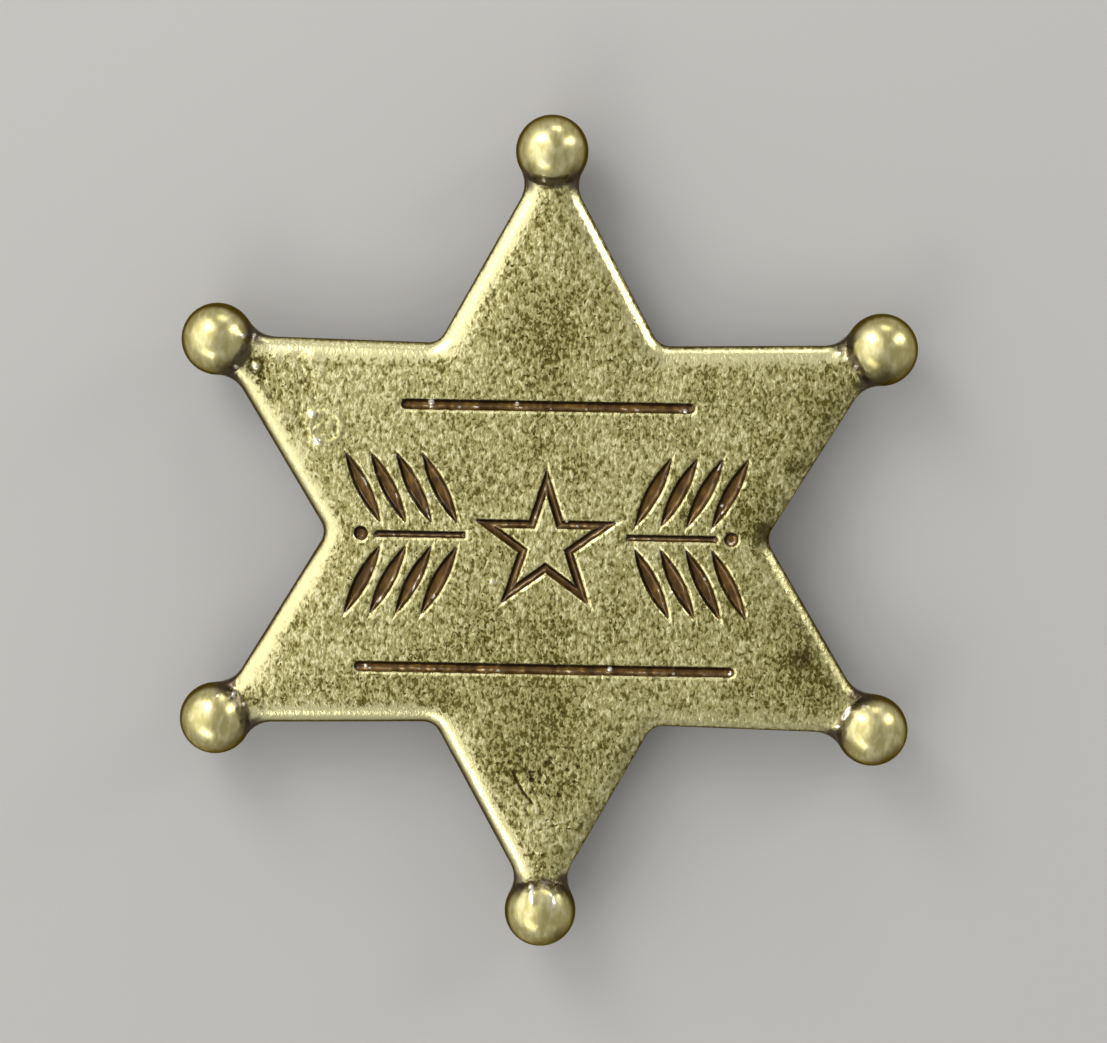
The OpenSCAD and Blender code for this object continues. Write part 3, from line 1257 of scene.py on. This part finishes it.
    # Marks, wear and tarnish that it picked up, with painted glints, painted highlights and shade set side
    # by side, and broad patches of painted light and shade.
    marks: tuple[Mark | Scratch, ...] = (
        Mark(-17.15, 8.22, 1.22, 0.085, 0.17, 0.3),
        Mark(-18.26, 9.22, 0.34, 0.17),
        Mark(-17.84, 7.12, 0.36, 0.18),
        Mark(-16.80, 8.43, 0.22, 0.09, strength=0.5),
        Scratch(((-18.05, 8.05), (-17.70, 8.25), (-17.38, 8.50)), 0.12, 0.07),
        Mark(-22.62, 12.80, 0.26, 0.13),
        Mark(-22.62, 12.80, 0.55, -0.08, 0.14, 0.55),
        Mark(-19.97, 14.20, 0.45, 0.10, strength=0.4),
        Mark(-18.16, 13.95, 0.60, 0.12, strength=0.4),
        Mark(-19.25, 13.85, 0.20, -0.08, strength=0.4),
        Mark(-21.10, 13.50, 0.35, 0.08, strength=0.2),
        Mark(-22.00, 11.00, 0.40, 0.08, strength=0.3),
        Mark(-20.60, 9.10, 0.45, 0.08, strength=0.3),
        Mark(-18.74, 11.36, 0.32, -0.07, 0.13, 0.5),
        Scratch(((-18.41, 12.37), (-18.25, 11.40), (-18.04, 10.44)), 0.12, -0.06),
        Scratch(((-19.60, 13.60), (-19.05, 12.70), (-18.75, 11.90)), 0.11, -0.05),
        Scratch(((-19.08, 10.04), (-19.25, 9.00), (-18.91, 7.80)), 0.22, -0.06),
        Mark(0.36, -17.74, 0.15, -0.10),
        Mark(-0.90, -18.48, 0.13, -0.08),
        Mark(-1.35, -18.30, 0.13, -0.07),
        Mark(-0.77, -19.11, 0.17, -0.12),
        Mark(2.03, -18.27, 0.13, -0.09),
        Mark(2.56, -19.25, 0.12, -0.09),
        Mark(2.85, -18.00, 0.12, -0.08),
        Mark(0.93, -22.72, 0.16, -0.09),
        Scratch(((-0.75, -19.70), (-0.60, -20.15), (-0.28, -20.55)), 0.07, -0.05, 0.5),
        Scratch(((-1.10, -21.00), (-1.18, -21.45), (-1.02, -21.95)), 0.08, -0.05, 0.4),
        Scratch(((0.62, -17.60), (0.95, -17.95), (0.85, -18.30)), 0.06, -0.05, 0.4),
        Scratch(((2.15, -19.40), (2.55, -19.12), (3.00, -19.28)), 0.06, -0.05, 0.5),
        Scratch(((-1.15, -25.12), (-0.45, -25.02), (0.28, -25.14)), 0.08, -0.06, 0.5),
        Scratch(((-0.95, -26.02), (-0.35, -26.10), (0.15, -25.96)), 0.07, -0.05, 0.4),
        Scratch(((-2.26, -18.51), (-1.95, -19.20), (-1.50, -20.05), (-0.74, -20.93)), 0.11, -0.09, 0.9),
        Scratch(((-2.10, 11.90), (-1.70, 11.20)), 0.09, 0.05),
    )
    pits: tuple[PitCluster, ...] = (
        PitCluster(0.3, -18.6, (1.5, 0.8), 30, 4),
        PitCluster(0.6, -22.6, (0.8, 1.6), 16, 8),
        PitCluster(-22.6, 12.1, (0.7, 0.7), 10, 2),
    )
    beads: tuple[Mark | Scratch, ...] = (
        Mark(-0.60, 27.45, 0.22, 0.13),
        Mark(-23.55, 15.15, 0.24, 0.15),
        Mark(-22.80, 15.20, 0.18, 0.12),
        Mark(-24.15, 12.75, 0.22, 0.12),
        Mark(-24.15, -12.80, 0.22, 0.13),
        Mark(-23.35, -13.55, 0.18, 0.12),
        Mark(-25.35, -12.80, 0.18, 0.11),
        Scratch(((-0.72, -27.45), (-0.60, -28.50)), 0.24, 0.15, 1.0),
        Scratch(((0.95, -28.05), (1.08, -28.85)), 0.20, 0.15, 1.0),
        Scratch(((23.85, -13.00), (23.35, -13.75)), 0.20, 0.14, 1.0),
        Mark(24.90, -12.70, 0.18, 0.12),
        Mark(22.95, -14.45, 0.20, 0.12),
        Mark(22.40, 14.55, 0.20, 0.12),
        Mark(22.95, 14.20, 0.16, 0.11),
        Mark(23.60, 13.50, 0.22, 0.14),
    )
    gloss_spots: tuple[Mark, ...] = (
        Mark(-9.03, 10.29, 0.30, 0.16),
        Mark(-2.39, 10.25, 0.20, 0.10),
        Mark(10.6, 9.9, 0.20, 0.10),
        Mark(5.15, -10.3, 0.24, 0.12),
        Mark(-13.9, -10.4, 0.16, 0.10),
        Mark(-4.1, -3.6, 0.18, 0.12),
        Mark(1.6, 1.2, 0.15, 0.10),
        Mark(-9.1, 3.1, 0.15, 0.10),
        Mark(9.8, -4.2, 0.15, 0.10),
        Mark(13.6, 2.6, 0.15, 0.10),
    )
    side_blend: float = 1.6
    # Wear and brim are set side by side as the light falls: painted highlights on the sides toward the
    # windows.
    side_wear_and_highlight: tuple[tuple[float, float], ...] = (
        (0.95, 0.25),
        (0.85, 0.90),
        (1.00, 0.85),
        (0.05, 1.00),
        (0.10, 0.30),
        (0.80, 0.05),
    )
    side_brim_highlight: tuple[tuple[float, float], ...] = (
        (1.00, 1.00),
        (0.60, 1.00),
        (0.80, 0.80),
        (0.20, 0.70),
        (0.55, 0.50),
        (1.00, 0.10),
    )
    side_dark: tuple[tuple[float, float], ...] = (
        (0.45, 0.00),
        (1.00, 0.00),
        (0.75, 0.75),
        (0.15, 1.00),
        (0.35, 0.40),
        (0.10, 0.15),
    )
    # Small patches near the notches and balls are tarnish; the broad ones, lighter on the left and darker on
    # the right, are painted light and shade.
    stains_and_shade: tuple[StainAndShade, ...] = (
        StainAndShade(17.20, 0.40, 1.5, 1.15),
        StainAndShade(18.87, 5.79, 0.8, 0.55),
        StainAndShade(20.07, -9.22, 0.8, 0.50),
        StainAndShade(-24.2, 13.0, 2.6, 0.60),
        StainAndShade(24.8, 14.0, 2.4, 0.55),
        StainAndShade(0.0, 18.0, 4.5, 0.25),
        StainAndShade(0.0, 24.8, 1.8, 0.4),
        StainAndShade(0.6, -18.6, 4.0, 0.25),
        StainAndShade(-0.5, 14.5, 3.2, 0.30),
        StainAndShade(19.5, -9.5, 5.0, 0.55),
        StainAndShade(1.5, -31.3, 1.2, 0.85),
        StainAndShade(26.0, 12.8, 1.1, 0.65),
        StainAndShade(-1.0, -13.4, 6.0, 0.55),
        StainAndShade(20.0, 9.0, 5.0, 0.42),
        StainAndShade(-17.5, 10.5, 4.5, -0.40),
        StainAndShade(-20.0, -10.0, 5.0, -0.15),
        StainAndShade(0.0, -22.5, 2.5, -0.20),
    )

    def __post_init__(self) -> None:
        """Takes the height of the plate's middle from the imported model, and adds the pits to the marks."""
        low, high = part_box(self.node)
        self.mid_z = (low.z + high.z) / 2 / MM
        self.marks += tuple(mark for cluster in self.pits for mark in cluster.marks())

    def by_side(self, points: Array, table: tuple[tuple[float, float], ...]) -> Array:
        """Value of the side of an arm that each place lies on, blended across the notches.

        Args:
            points: Places in millimetres, one row each.
            table: Two values for each arm, counterclockwise from the top arm: that of its
                counterclockwise side and that of its clockwise side.

        Returns:
            One value for each place.
        """
        values = np.array(table)
        arm, angle = self.plan.nearest_arm(points)
        side = np.where(angle > 0, 0, 1)
        own = values[arm % self.plan.arms, side]
        other = values[(arm + 1 - 2 * side) % self.plan.arms, 1 - side]
        from_notch = self.plan.folded(points) @ np.array([self.plan.mid_way[1], -self.plan.mid_way[0]])
        share = 0.5 + 0.5 * smooth_step(from_notch, 0.0, self.side_blend)
        return own * share + other * (1 - share)

    def rim_insets(self) -> list[float]:
        """Insets of the loops across the rounded edge, closest at the outline.

        Returns:
            The insets, from 0 inward.
        """
        angles = np.linspace(0.0, math.pi / 2, self.rim_steps)
        shares = np.maximum(np.cos(angles), 0.0) ** (2 / self.edge_power)
        return [float(self.edge_w * (1 - share)) for share in shares] + [self.rim_end]

    def past_ball(self, points: Array) -> Array:
        """How far out along its arm each place lies from the ball's centre."""
        return self.plan.folded(points)[:, 0] - self.plan.reach

    def ball_height(self, points: Array) -> Array:
        """Height of the ball's surface over the plate's middle plane, 0 outside the ball."""
        gap = self.plan.ball_gap(points)
        return np.sqrt(np.maximum(self.plan.ball_r**2 - gap**2, 0.0))

    def softness(self, points: Array, inset: Array, full: float) -> Array:
        """Softness of the crease between ball and arm, which ends at the outline and over the ball."""
        inner = self.soft_along.at(self.past_ball(points))
        return np.maximum(full * inner * self.soft_inset.at(inset), self.least_soft)

    def face_height(self, points: Array, inset: Array) -> Array:
        """Height of the face over the plate's middle plane.

        Args:
            points: Places in millimetres, one row each.
            inset: Distance of each place inside the outline.

        Returns:
            One height for each place.
        """
        share = 1.0 - np.clip(inset / self.edge_w, 0.0, 1.0)
        edge = (1.0 - share**self.edge_power) ** (1 / self.edge_power)
        plate = (self.plate_t / 2 - self.crown_inset.at(inset)) * edge
        ball = self.ball_height(points)
        top = smooth_max(plate, ball, self.softness(points, inset, self.crease_soft))
        waves = [height * ripple(points, width, seed) for height, width, seed in self.waves]
        sway = sum(waves) - self.wave_sink
        for mark in self.marks:
            sway = sway + mark.height * mark.amount(points)
        for spot in (*self.beads, *self.gloss_spots):
            top = top + self.bead_inset.at(inset) * spot.height * spot.amount(points)
        flat = self.flat_inset.at(inset) * self.flat_ball.at(ball)
        return top + flat * sway - self.groove.at(self.ornament.distance(points))

    def back_depth(self, points: Array, inset: Array) -> Array:
        """Depth of the back under the plate's middle plane.

        Args:
            points: Places in millimetres, one row each.
            inset: Distance of each place inside the outline.

        Returns:
            One depth for each place.
        """
        bevel = self.plate_t / 2 - self.back_bevel + np.maximum(inset, 0.0)
        plate = -smooth_max(-bevel, np.full(inset.shape, -self.plate_t / 2), self.bevel_soft)
        plate = plate * self.back_along.at(self.past_ball(points))
        ball = self.ball_height(points)
        return smooth_max(plate, ball, self.softness(points, inset, self.back_soft))

    def scattered(self, step: float, keep_from: float, margin: float | None, seed: int) -> Array:
        """Slightly shuffled grid of points inside the star.

        Args:
            step: Distance between the points.
            keep_from: Least distance inside the outline.
            margin: Least distance from the engraving; None ignores the engraving.
            seed: Seed of the shuffle.

        Returns:
            The points, one row each.
        """
        rng = np.random.default_rng(seed)
        span = self.plan.reach + self.plan.ball_r
        count = int(2 * span / step)
        axis = -span + step * np.arange(count + 1)
        x, y = np.meshgrid(axis, axis)
        x = x + step / 2 * (np.arange(len(axis)) % 2)[:, None]
        points = np.c_[x.ravel(), y.ravel()] + rng.uniform(-self.shuffle, self.shuffle, (x.size, 2)) * step
        keep = self.plan.inset(points) > keep_from
        if margin is not None:
            keep &= self.ornament.distance(points) > margin
        return points[keep]

    def neck_points(self, keep_from: float) -> Array:
        """Close rings of points about each ball's centre, over its cap and its neck.

        Args:
            keep_from: Least distance inside the outline.

        Returns:
            The points, one row each.
        """
        rows = []
        for radius in np.arange(*self.cap_radii):
            steps = int(2 * math.pi * radius / self.cap_step)
            a = np.linspace(0, 2 * math.pi, steps, endpoint=False)
            rows.append(self.plan.ball_at + radius * np.c_[np.cos(a), np.sin(a)])
        points = self.plan.on_arms(np.vstack(rows + [self.plan.ball_at[None, :]]))
        return points[self.plan.inset(points) > keep_from]

    @staticmethod
    def thinned(points: Array, gap: float) -> Array:
        """Points with those left out that lie closer than a gap to an earlier one.

        Args:
            points: Places, one row each.
            gap: The least distance that is kept.

        Returns:
            The points that are left, in their order.
        """
        kept: dict[tuple[int, int], list[int]] = {}
        chosen = []
        cells = np.floor(points / gap).astype(int)
        for i, (cx, cy) in enumerate(cells):
            cells_near = [(cx + dx, cy + dy) for dx in (-1, 0, 1) for dy in (-1, 0, 1)]
            near = [j for cell in cells_near for j in kept.get(cell, ())]
            if all(np.hypot(*(points[i] - points[j])) >= gap for j in near):
                kept.setdefault((cx, cy), []).append(i)
                chosen.append(i)
        return points[chosen]

    def filled(self, border: Array, inner: Array) -> tuple[Array, Array]:
        """Triangles over the inside of a border, through the given inner points.

        Args:
            border: Closed border, counterclockwise.
            inner: Points inside the border.

        Returns:
            The points and the triangles as rows of three indices.
        """
        points = [Vector(p) for p in np.vstack([border, inner])]
        outside = [list(range(len(border)))]
        inside_only, merge_gap = 1, 1e-7
        found = delaunay_2d_cdt(points, [], outside, inside_only, merge_gap)
        return np.array([tuple(v) for v in found[0]]), np.array([f for f in found[2] if len(f) == 3])

    def inner_points(self, side: Side) -> Array:
        """Points of the mesh inside the rounded edge.

        Args:
            side: Which side they are for.

        Returns:
            The points, one row each.
        """
        from_loop = self.rim_end + self.loop_room
        caps = self.neck_points(from_loop)
        if side is Side.BACK:
            loose = self.scattered(self.back_step, self.rim_end + self.back_room, None, self.back_seed)
            return self.thinned(np.vstack([caps, loose]), self.back_gap)
        grooves = np.vstack([self.ornament.level_points(v) for v in self.levels])
        close = np.vstack([m.close_points() for m in (*self.marks, *self.gloss_spots)])
        close = close[self.plan.inset(close) > from_loop]
        margin = max(self.levels) + self.groove_room
        loose = self.scattered(self.face_step, self.rim_end + self.face_room, margin, self.face_seed)
        return self.thinned(np.vstack([grooves, caps, close, loose]), self.face_gap)

    def surface(self, side: Side) -> tuple[Array, Array]:
        """One side of the star, from its outline inward.

        Args:
            side: Which side to build.

        Returns:
            Vertices in millimetres over the middle plane, with their inset in a fourth column, and
            triangles.
        """
        insets = self.rim_insets()
        loops = [self.plan.contour(s) for s in insets]
        count = len(loops[0])
        flat, cap = self.filled(loops[-1], self.inner_points(side))
        plane = np.vstack(loops[:-1] + [flat])
        inset = np.r_[np.repeat(insets[:-1], count), np.maximum(self.plan.inset(flat), self.rim_end)]
        triangles = [cap + count * (len(loops) - 1)]
        low = np.arange(count)
        for ring in range(len(loops) - 1):
            a, b = low + ring * count, np.roll(low, -1) + ring * count
            triangles += [np.c_[a, b, b + count], np.c_[a, b + count, a + count]]
        height = self.face_height(plane, inset) if side is Side.FACE else -self.back_depth(plane, inset)
        faces = np.vstack(triangles)
        return np.c_[plane, height, inset], faces if side is Side.FACE else faces[:, ::-1]

    def wall(self) -> tuple[Array, Array]:
        """Upright strip between the outline of the face and that of the back.

        Returns:
            Vertices and triangles, as those of a side.
        """
        outline = self.plan.contour(0.0)
        depth = self.back_depth(outline, np.zeros(len(outline)))
        rows = [-depth * k / self.wall_rows for k in range(self.wall_rows + 1)]
        vertices = np.vstack([np.c_[outline, z, np.zeros(len(outline))] for z in rows])
        low = np.arange(len(outline))
        triangles = []
        for row in range(self.wall_rows):
            a, b = low + row * len(outline), np.roll(low, -1) + row * len(outline)
            c, d = a + len(outline), b + len(outline)
            triangles += [np.c_[a, c, d], np.c_[a, d, b]]
        return vertices, np.vstack(triangles)

    def welded(self, parts: list[tuple[Array, Array]]) -> tuple[Array, Array]:
        """One mesh from parts whose borders have the same points.

        Args:
            parts: Vertices and triangles of each part.

        Returns:
            Vertices without doubles, and triangles without those that have no area.
        """
        vertices = np.vstack([v for v, _ in parts])
        starts = np.cumsum([0] + [len(v) for v, _ in parts[:-1]])
        faces = np.vstack([f + s for (_, f), s in zip(parts, starts)])
        places = np.round(vertices[:, :3], self.weld_digits)
        _, first, index = np.unique(places, axis=0, return_index=True, return_inverse=True)
        faces = index.ravel()[faces]
        a, b, c = faces.T
        return vertices[first], faces[(a != b) & (b != c) & (a != c)]

    def creases(self, points: Array, inset: Array, on_face: Array) -> Array:
        """Share of the dark crease colour where balls and arms meet: brown patina with painted shade.

        Args:
            points: Places in millimetres, one row each.
            inset: Distance of each place inside the outline.
            on_face: Whether each place is on the face.

        Returns:
            One share for each place.
        """
        gap, along = self.plan.ball_gap(points), self.past_ball(points)
        neck = self.neck_in_gap.at(gap) * self.neck_out_gap.at(gap) * self.neck_along.at(along)
        side = np.exp(-(((along - self.side_neck_at) / self.side_neck_w) ** 2))
        return np.maximum(np.where(on_face, neck, 0.0), side * self.side_neck_inset.at(inset))

    def patina_and_shade(self, points: Array, z: Array) -> Array:
        """Share of the dark rim colour: patina with painted shade low on the edge and on the balls, and
        painted shade on the balls' shaded side.

        Args:
            points: Places in millimetres, one row each.
            z: Height of each place over the middle plane.

        Returns:
            One share for each place, 1 under the middle plane.
        """
        gap = self.plan.ball_gap(points)
        # The dark rim is patina with painted shade; how far it reaches up is set side by side.
        dark = self.dark_reach * self.by_side(points, self.side_dark)
        on_rim = self.rim_height.at(z / (self.plate_t / 2) - dark)
        on_ball = self.ball_rim_height.at(z / self.plan.ball_r)
        patina_and_shade = np.where(z > 0, np.where(gap < self.plan.ball_r, on_ball, on_rim), 1.0)
        # Painted shade on the side of each ball away from the light.
        shaded = self.plan.from_ball_centre(points) @ self.shaded_side / self.plan.ball_r
        return np.maximum(patina_and_shade, self.ball_shade.at(shaded) * (gap < self.ball_shade_to))

    def masks(self, vertices: Array) -> dict[Mask, Array]:
        """Values that the finish reads, for each vertex.

        Args:
            vertices: Places over the middle plane, with the inset in the fourth column.

        Returns:
            One array of values for each mask.
        """
        points, z, inset = vertices[:, :2], vertices[:, 2], vertices[:, 3]
        on_face = z > self.face_from
        gap, along = self.plan.ball_gap(points), self.past_ball(points)
        inner = self.inner_along.at(along)
        sunk = [m for m in self.marks if m.height < 0]
        raised = [m for m in (*self.marks, *self.beads, *self.gloss_spots) if m.height > 0]
        stain_and_shade = np.sum([s.amount(points) for s in self.stains_and_shade], axis=0)
        stain_and_shade += self.pit_tarnish * np.sum([m.strength * m.amount(points) for m in sunk], axis=0)
        # Raised marks, drops and gloss spots are polished and painted with glints.
        polish_and_glint = np.max([m.strength * m.amount(points) for m in raised], axis=0)
        distance = self.ornament.distance
        step = self.facing_step * np.array(self.lit_side)
        facing = (distance(points + step) - distance(points - step)) / (2 * self.facing_step)
        return {
            Mask.INSET: inset,
            Mask.GROOVE: np.where(on_face, distance(points), self.off_face),
            Mask.CREASE: self.creases(points, inset, on_face),
            Mask.FACING: facing,
            Mask.POLISH_AND_GLINT: np.where(on_face, polish_and_glint, 0.0),
            Mask.BALL: self.ball_gap.at(gap) * inner + self.outer_along.at(along) * (1 - inner),
            Mask.STAIN_AND_SHADE: np.where(on_face, stain_and_shade, 0.0),
            Mask.PATINA_AND_SHADE: self.patina_and_shade(points, z),
            Mask.WEAR_AND_HIGHLIGHT: self.by_side(points, self.side_wear_and_highlight),
            Mask.BRIM_HIGHLIGHT: self.by_side(points, self.side_brim_highlight),
        }

    def build(self) -> bpy.types.Object:
        """Makes the star's mesh, with the masks that its finish reads.

        Returns:
            The undressed piece.
        """
        parts = [self.surface(Side.FACE), self.surface(Side.BACK), self.wall()]
        vertices, faces = self.welded(parts)
        places = (vertices[:, :3] + [0.0, 0.0, self.mid_z]) * MM
        mesh = bpy.data.meshes.new("cast_star")
        mesh.from_pydata(places.tolist(), [], faces.tolist())
        mesh.validate()
        mesh.shade_smooth()
        for mask, values in self.masks(vertices).items():
            attribute = mesh.attributes.new(mask.value, "FLOAT", "POINT")
            attribute.data.foreach_set("value", values.astype(np.float32))
        piece = bpy.data.objects.new("cast_star", mesh)
        bpy.context.scene.collection.objects.link(piece)
        return piece

    def dress(self, piece: bpy.types.Object) -> None:
        """Gives the star its finish and puts it in the place of its plain solid.

        Args:
            piece: The star's piece.
        """
        piece.data.materials.append(AntiqueBrass().make())
        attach(piece, BODY)
        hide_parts(self.node)


@dataclass
class BroochPin:
    """The clasp on the back, whose solid keeps its shape and gets the finish of a plated pin."""

    node: str = "brooch_pin"

    def dress(self) -> bpy.types.Object:
        """Gives the clasp its finish.

        Returns:
            The clasp's own piece.
        """
        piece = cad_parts[self.node]
        piece.data.materials.clear()
        piece.data.materials.append(PinBrass().make())
        return piece


@dataclass(frozen=True)
class Lamp:
    """A soft white light that points at the badge.

    Attributes:
        name: Name of the light.
        at: Where it stands, in metres.
        size: Its width and height in metres.
        power: Its power in watts.
    """

    name: str
    at: Triple
    size: tuple[float, float]
    power: float

    def place(self) -> bpy.types.Object:
        """Makes the light.

        Returns:
            The light's object.
        """
        data = bpy.data.lights.new(self.name, "AREA")
        data.shape = "RECTANGLE"
        data.size, data.size_y = self.size
        data.energy = self.power
        lamp = bpy.data.objects.new(self.name, data)
        lamp.location = self.at
        lamp.rotation_euler = (-Vector(self.at)).to_track_quat("-Z", "Y").to_euler()
        bpy.context.scene.collection.objects.link(lamp)
        return lamp


@dataclass
class Studio:
    """Pale floor, soft lights and the camera.

    Attributes:
        image_w: Width of the photograph in pixels.
        eye: Place of the camera in millimetres.
        aim: What it looks at, in millimetres.
        roll_deg: How far it is turned about its own axis, in degrees.
        focal_px: Its focal length in pixels of the photograph.
        sensor: Width of its sensor in millimetres.
        clip: Nearest and farthest distance that it sees, in metres.
        floor_half: Half the width of the floor in metres.
        bright_side: Direction of the bright part of the sky.
        bright_rise: How the sky brightens toward it.
        low_from: Upward share of a direction where the low sky starts.
        low_to: Upward share under which the sky is at least as bright as sky_low.
    """

    image_w: int = 1107
    eye: Triple = (4.1, 21.5, 228.7)
    aim: Triple = (0.58, 1.19, 5.8)
    roll_deg: float = -0.93
    focal_px: float = 2890.0
    sensor: float = 36.0
    clip: tuple[float, float] = (0.01, 10.0)
    floor_half: float = 1.2
    floor_color: Triple = (0.402, 0.391, 0.373)
    floor_rough: float = 0.75
    floor_shine: float = 0.2
    sky_dark: Triple = (0.52, 0.52, 0.525)
    sky_bright: Triple = (1.75, 1.75, 1.75)
    sky_low: Triple = (0.56, 0.56, 0.56)
    bright_side: Triple = (-0.76, 0.26, 0.60)
    bright_rise: Ramp = Ramp(0.50, 0.92)
    low_from: float = 0.88
    low_to: float = 0.50
    lamps: tuple[Lamp, ...] = (
        Lamp("upper_window", (-0.140, 0.200, 0.185), (0.11, 0.14), 0.29),
        Lamp("lower_window", (-0.165, -0.240, 0.228), (0.22, 0.11), 0.27),
        Lamp("right_window", (0.385, 0.262, 0.187), (0.15, 0.26), 0.55),
        Lamp("far_window", (0.110, 0.560, 0.140), (0.22, 0.14), 0.34),
    )

    def floor(self) -> bpy.types.Object:
        """Lays the pale floor.

        Returns:
            The floor.
        """
        half = self.floor_half
        mesh = bpy.data.meshes.new("floor")
        corners = [(-half, -half, 0), (half, -half, 0), (half, half, 0), (-half, half, 0)]
        mesh.from_pydata(corners, [], [(0, 1, 2, 3)])
        plane = bpy.data.objects.new("floor", mesh)
        bpy.context.scene.collection.objects.link(plane)
        material, g = new_material("pale_floor")
        matt = {
            "Base Color": self.floor_color,
            "Roughness": self.floor_rough,
            "Specular IOR Level": self.floor_shine,
        }
        g.close("BsdfPrincipled", "OutputMaterial", matt)
        mesh.materials.append(material)
        return plane

    def camera(self) -> bpy.types.Object:
        """Sets up the camera from where the photograph was taken.

        Returns:
            The camera.
        """
        data = bpy.data.cameras.new("camera")
        data.sensor_fit = "HORIZONTAL"
        data.sensor_width = self.sensor
        data.lens = self.focal_px * self.sensor / self.image_w
        data.clip_start, data.clip_end = self.clip
        eye, aim = Vector(self.eye) * MM, Vector(self.aim) * MM
        back = (eye - aim).normalized()
        roll = math.radians(self.roll_deg)
        up = Vector((math.sin(roll), math.cos(roll), 0.0))
        right = up.cross(back).normalized()
        above = back.cross(right)
        camera = bpy.data.objects.new("camera", data)
        matrix = camera.matrix_world.to_3x3()
        for i, axis in enumerate((right, above, back)):
            matrix.col[i] = axis
        camera.matrix_world = matrix.to_4x4()
        camera.location = eye
        bpy.context.scene.collection.objects.link(camera)
        bpy.context.scene.camera = camera
        return camera

    def world(self) -> None:
        """Fills the room with a soft sky, bright on one side and never dark near the horizon."""
        world = bpy.data.worlds.new("room")
        world.use_nodes = True
        g = Graph(world.node_tree)
        direction = g.node("TexCoord").outputs["Generated"]
        side = tuple(Vector(self.bright_side).normalized())
        toward = g.node("VectorMath", {0: direction, 1: side}, operation="DOT_PRODUCT").outputs["Value"]
        sky = g.mix(g.ramp(toward, self.bright_rise), self.sky_dark, self.sky_bright)
        height = g.node("SeparateXYZ", {0: direction}).outputs["Z"]
        fall = {"Value": height, "From Min": self.low_from, "From Max": self.low_to}
        low = g.node("MapRange", fall).outputs[0]
        g.close("Background", "OutputWorld", {"Color": g.mix(low, sky, self.sky_low, "LIGHTEN")})
        bpy.context.scene.world = world

    def set_up(self) -> None:
        """Builds the whole studio, and shows its colours without a film curve."""
        self.camera()
        self.floor()
        self.world()
        for lamp in self.lamps:
            lamp.place()
        bpy.context.scene.view_settings.view_transform = "Standard"


def main() -> None:
    """Builds the studio and the badge's pieces in order and reports each piece."""
    logging.basicConfig(level=logging.INFO, format="%(name)s: %(message)s")
    Studio().set_up()
    star = StarBadge()
    piece = star.build()
    star.dress(piece)
    log.info("%s: %d triangles", piece.name, len(piece.data.polygons))
    clasp = BroochPin().dress()
    log.info("%s: %d triangles", clasp.name, len(clasp.data.polygons))


if __name__ == "__main__":
    main()
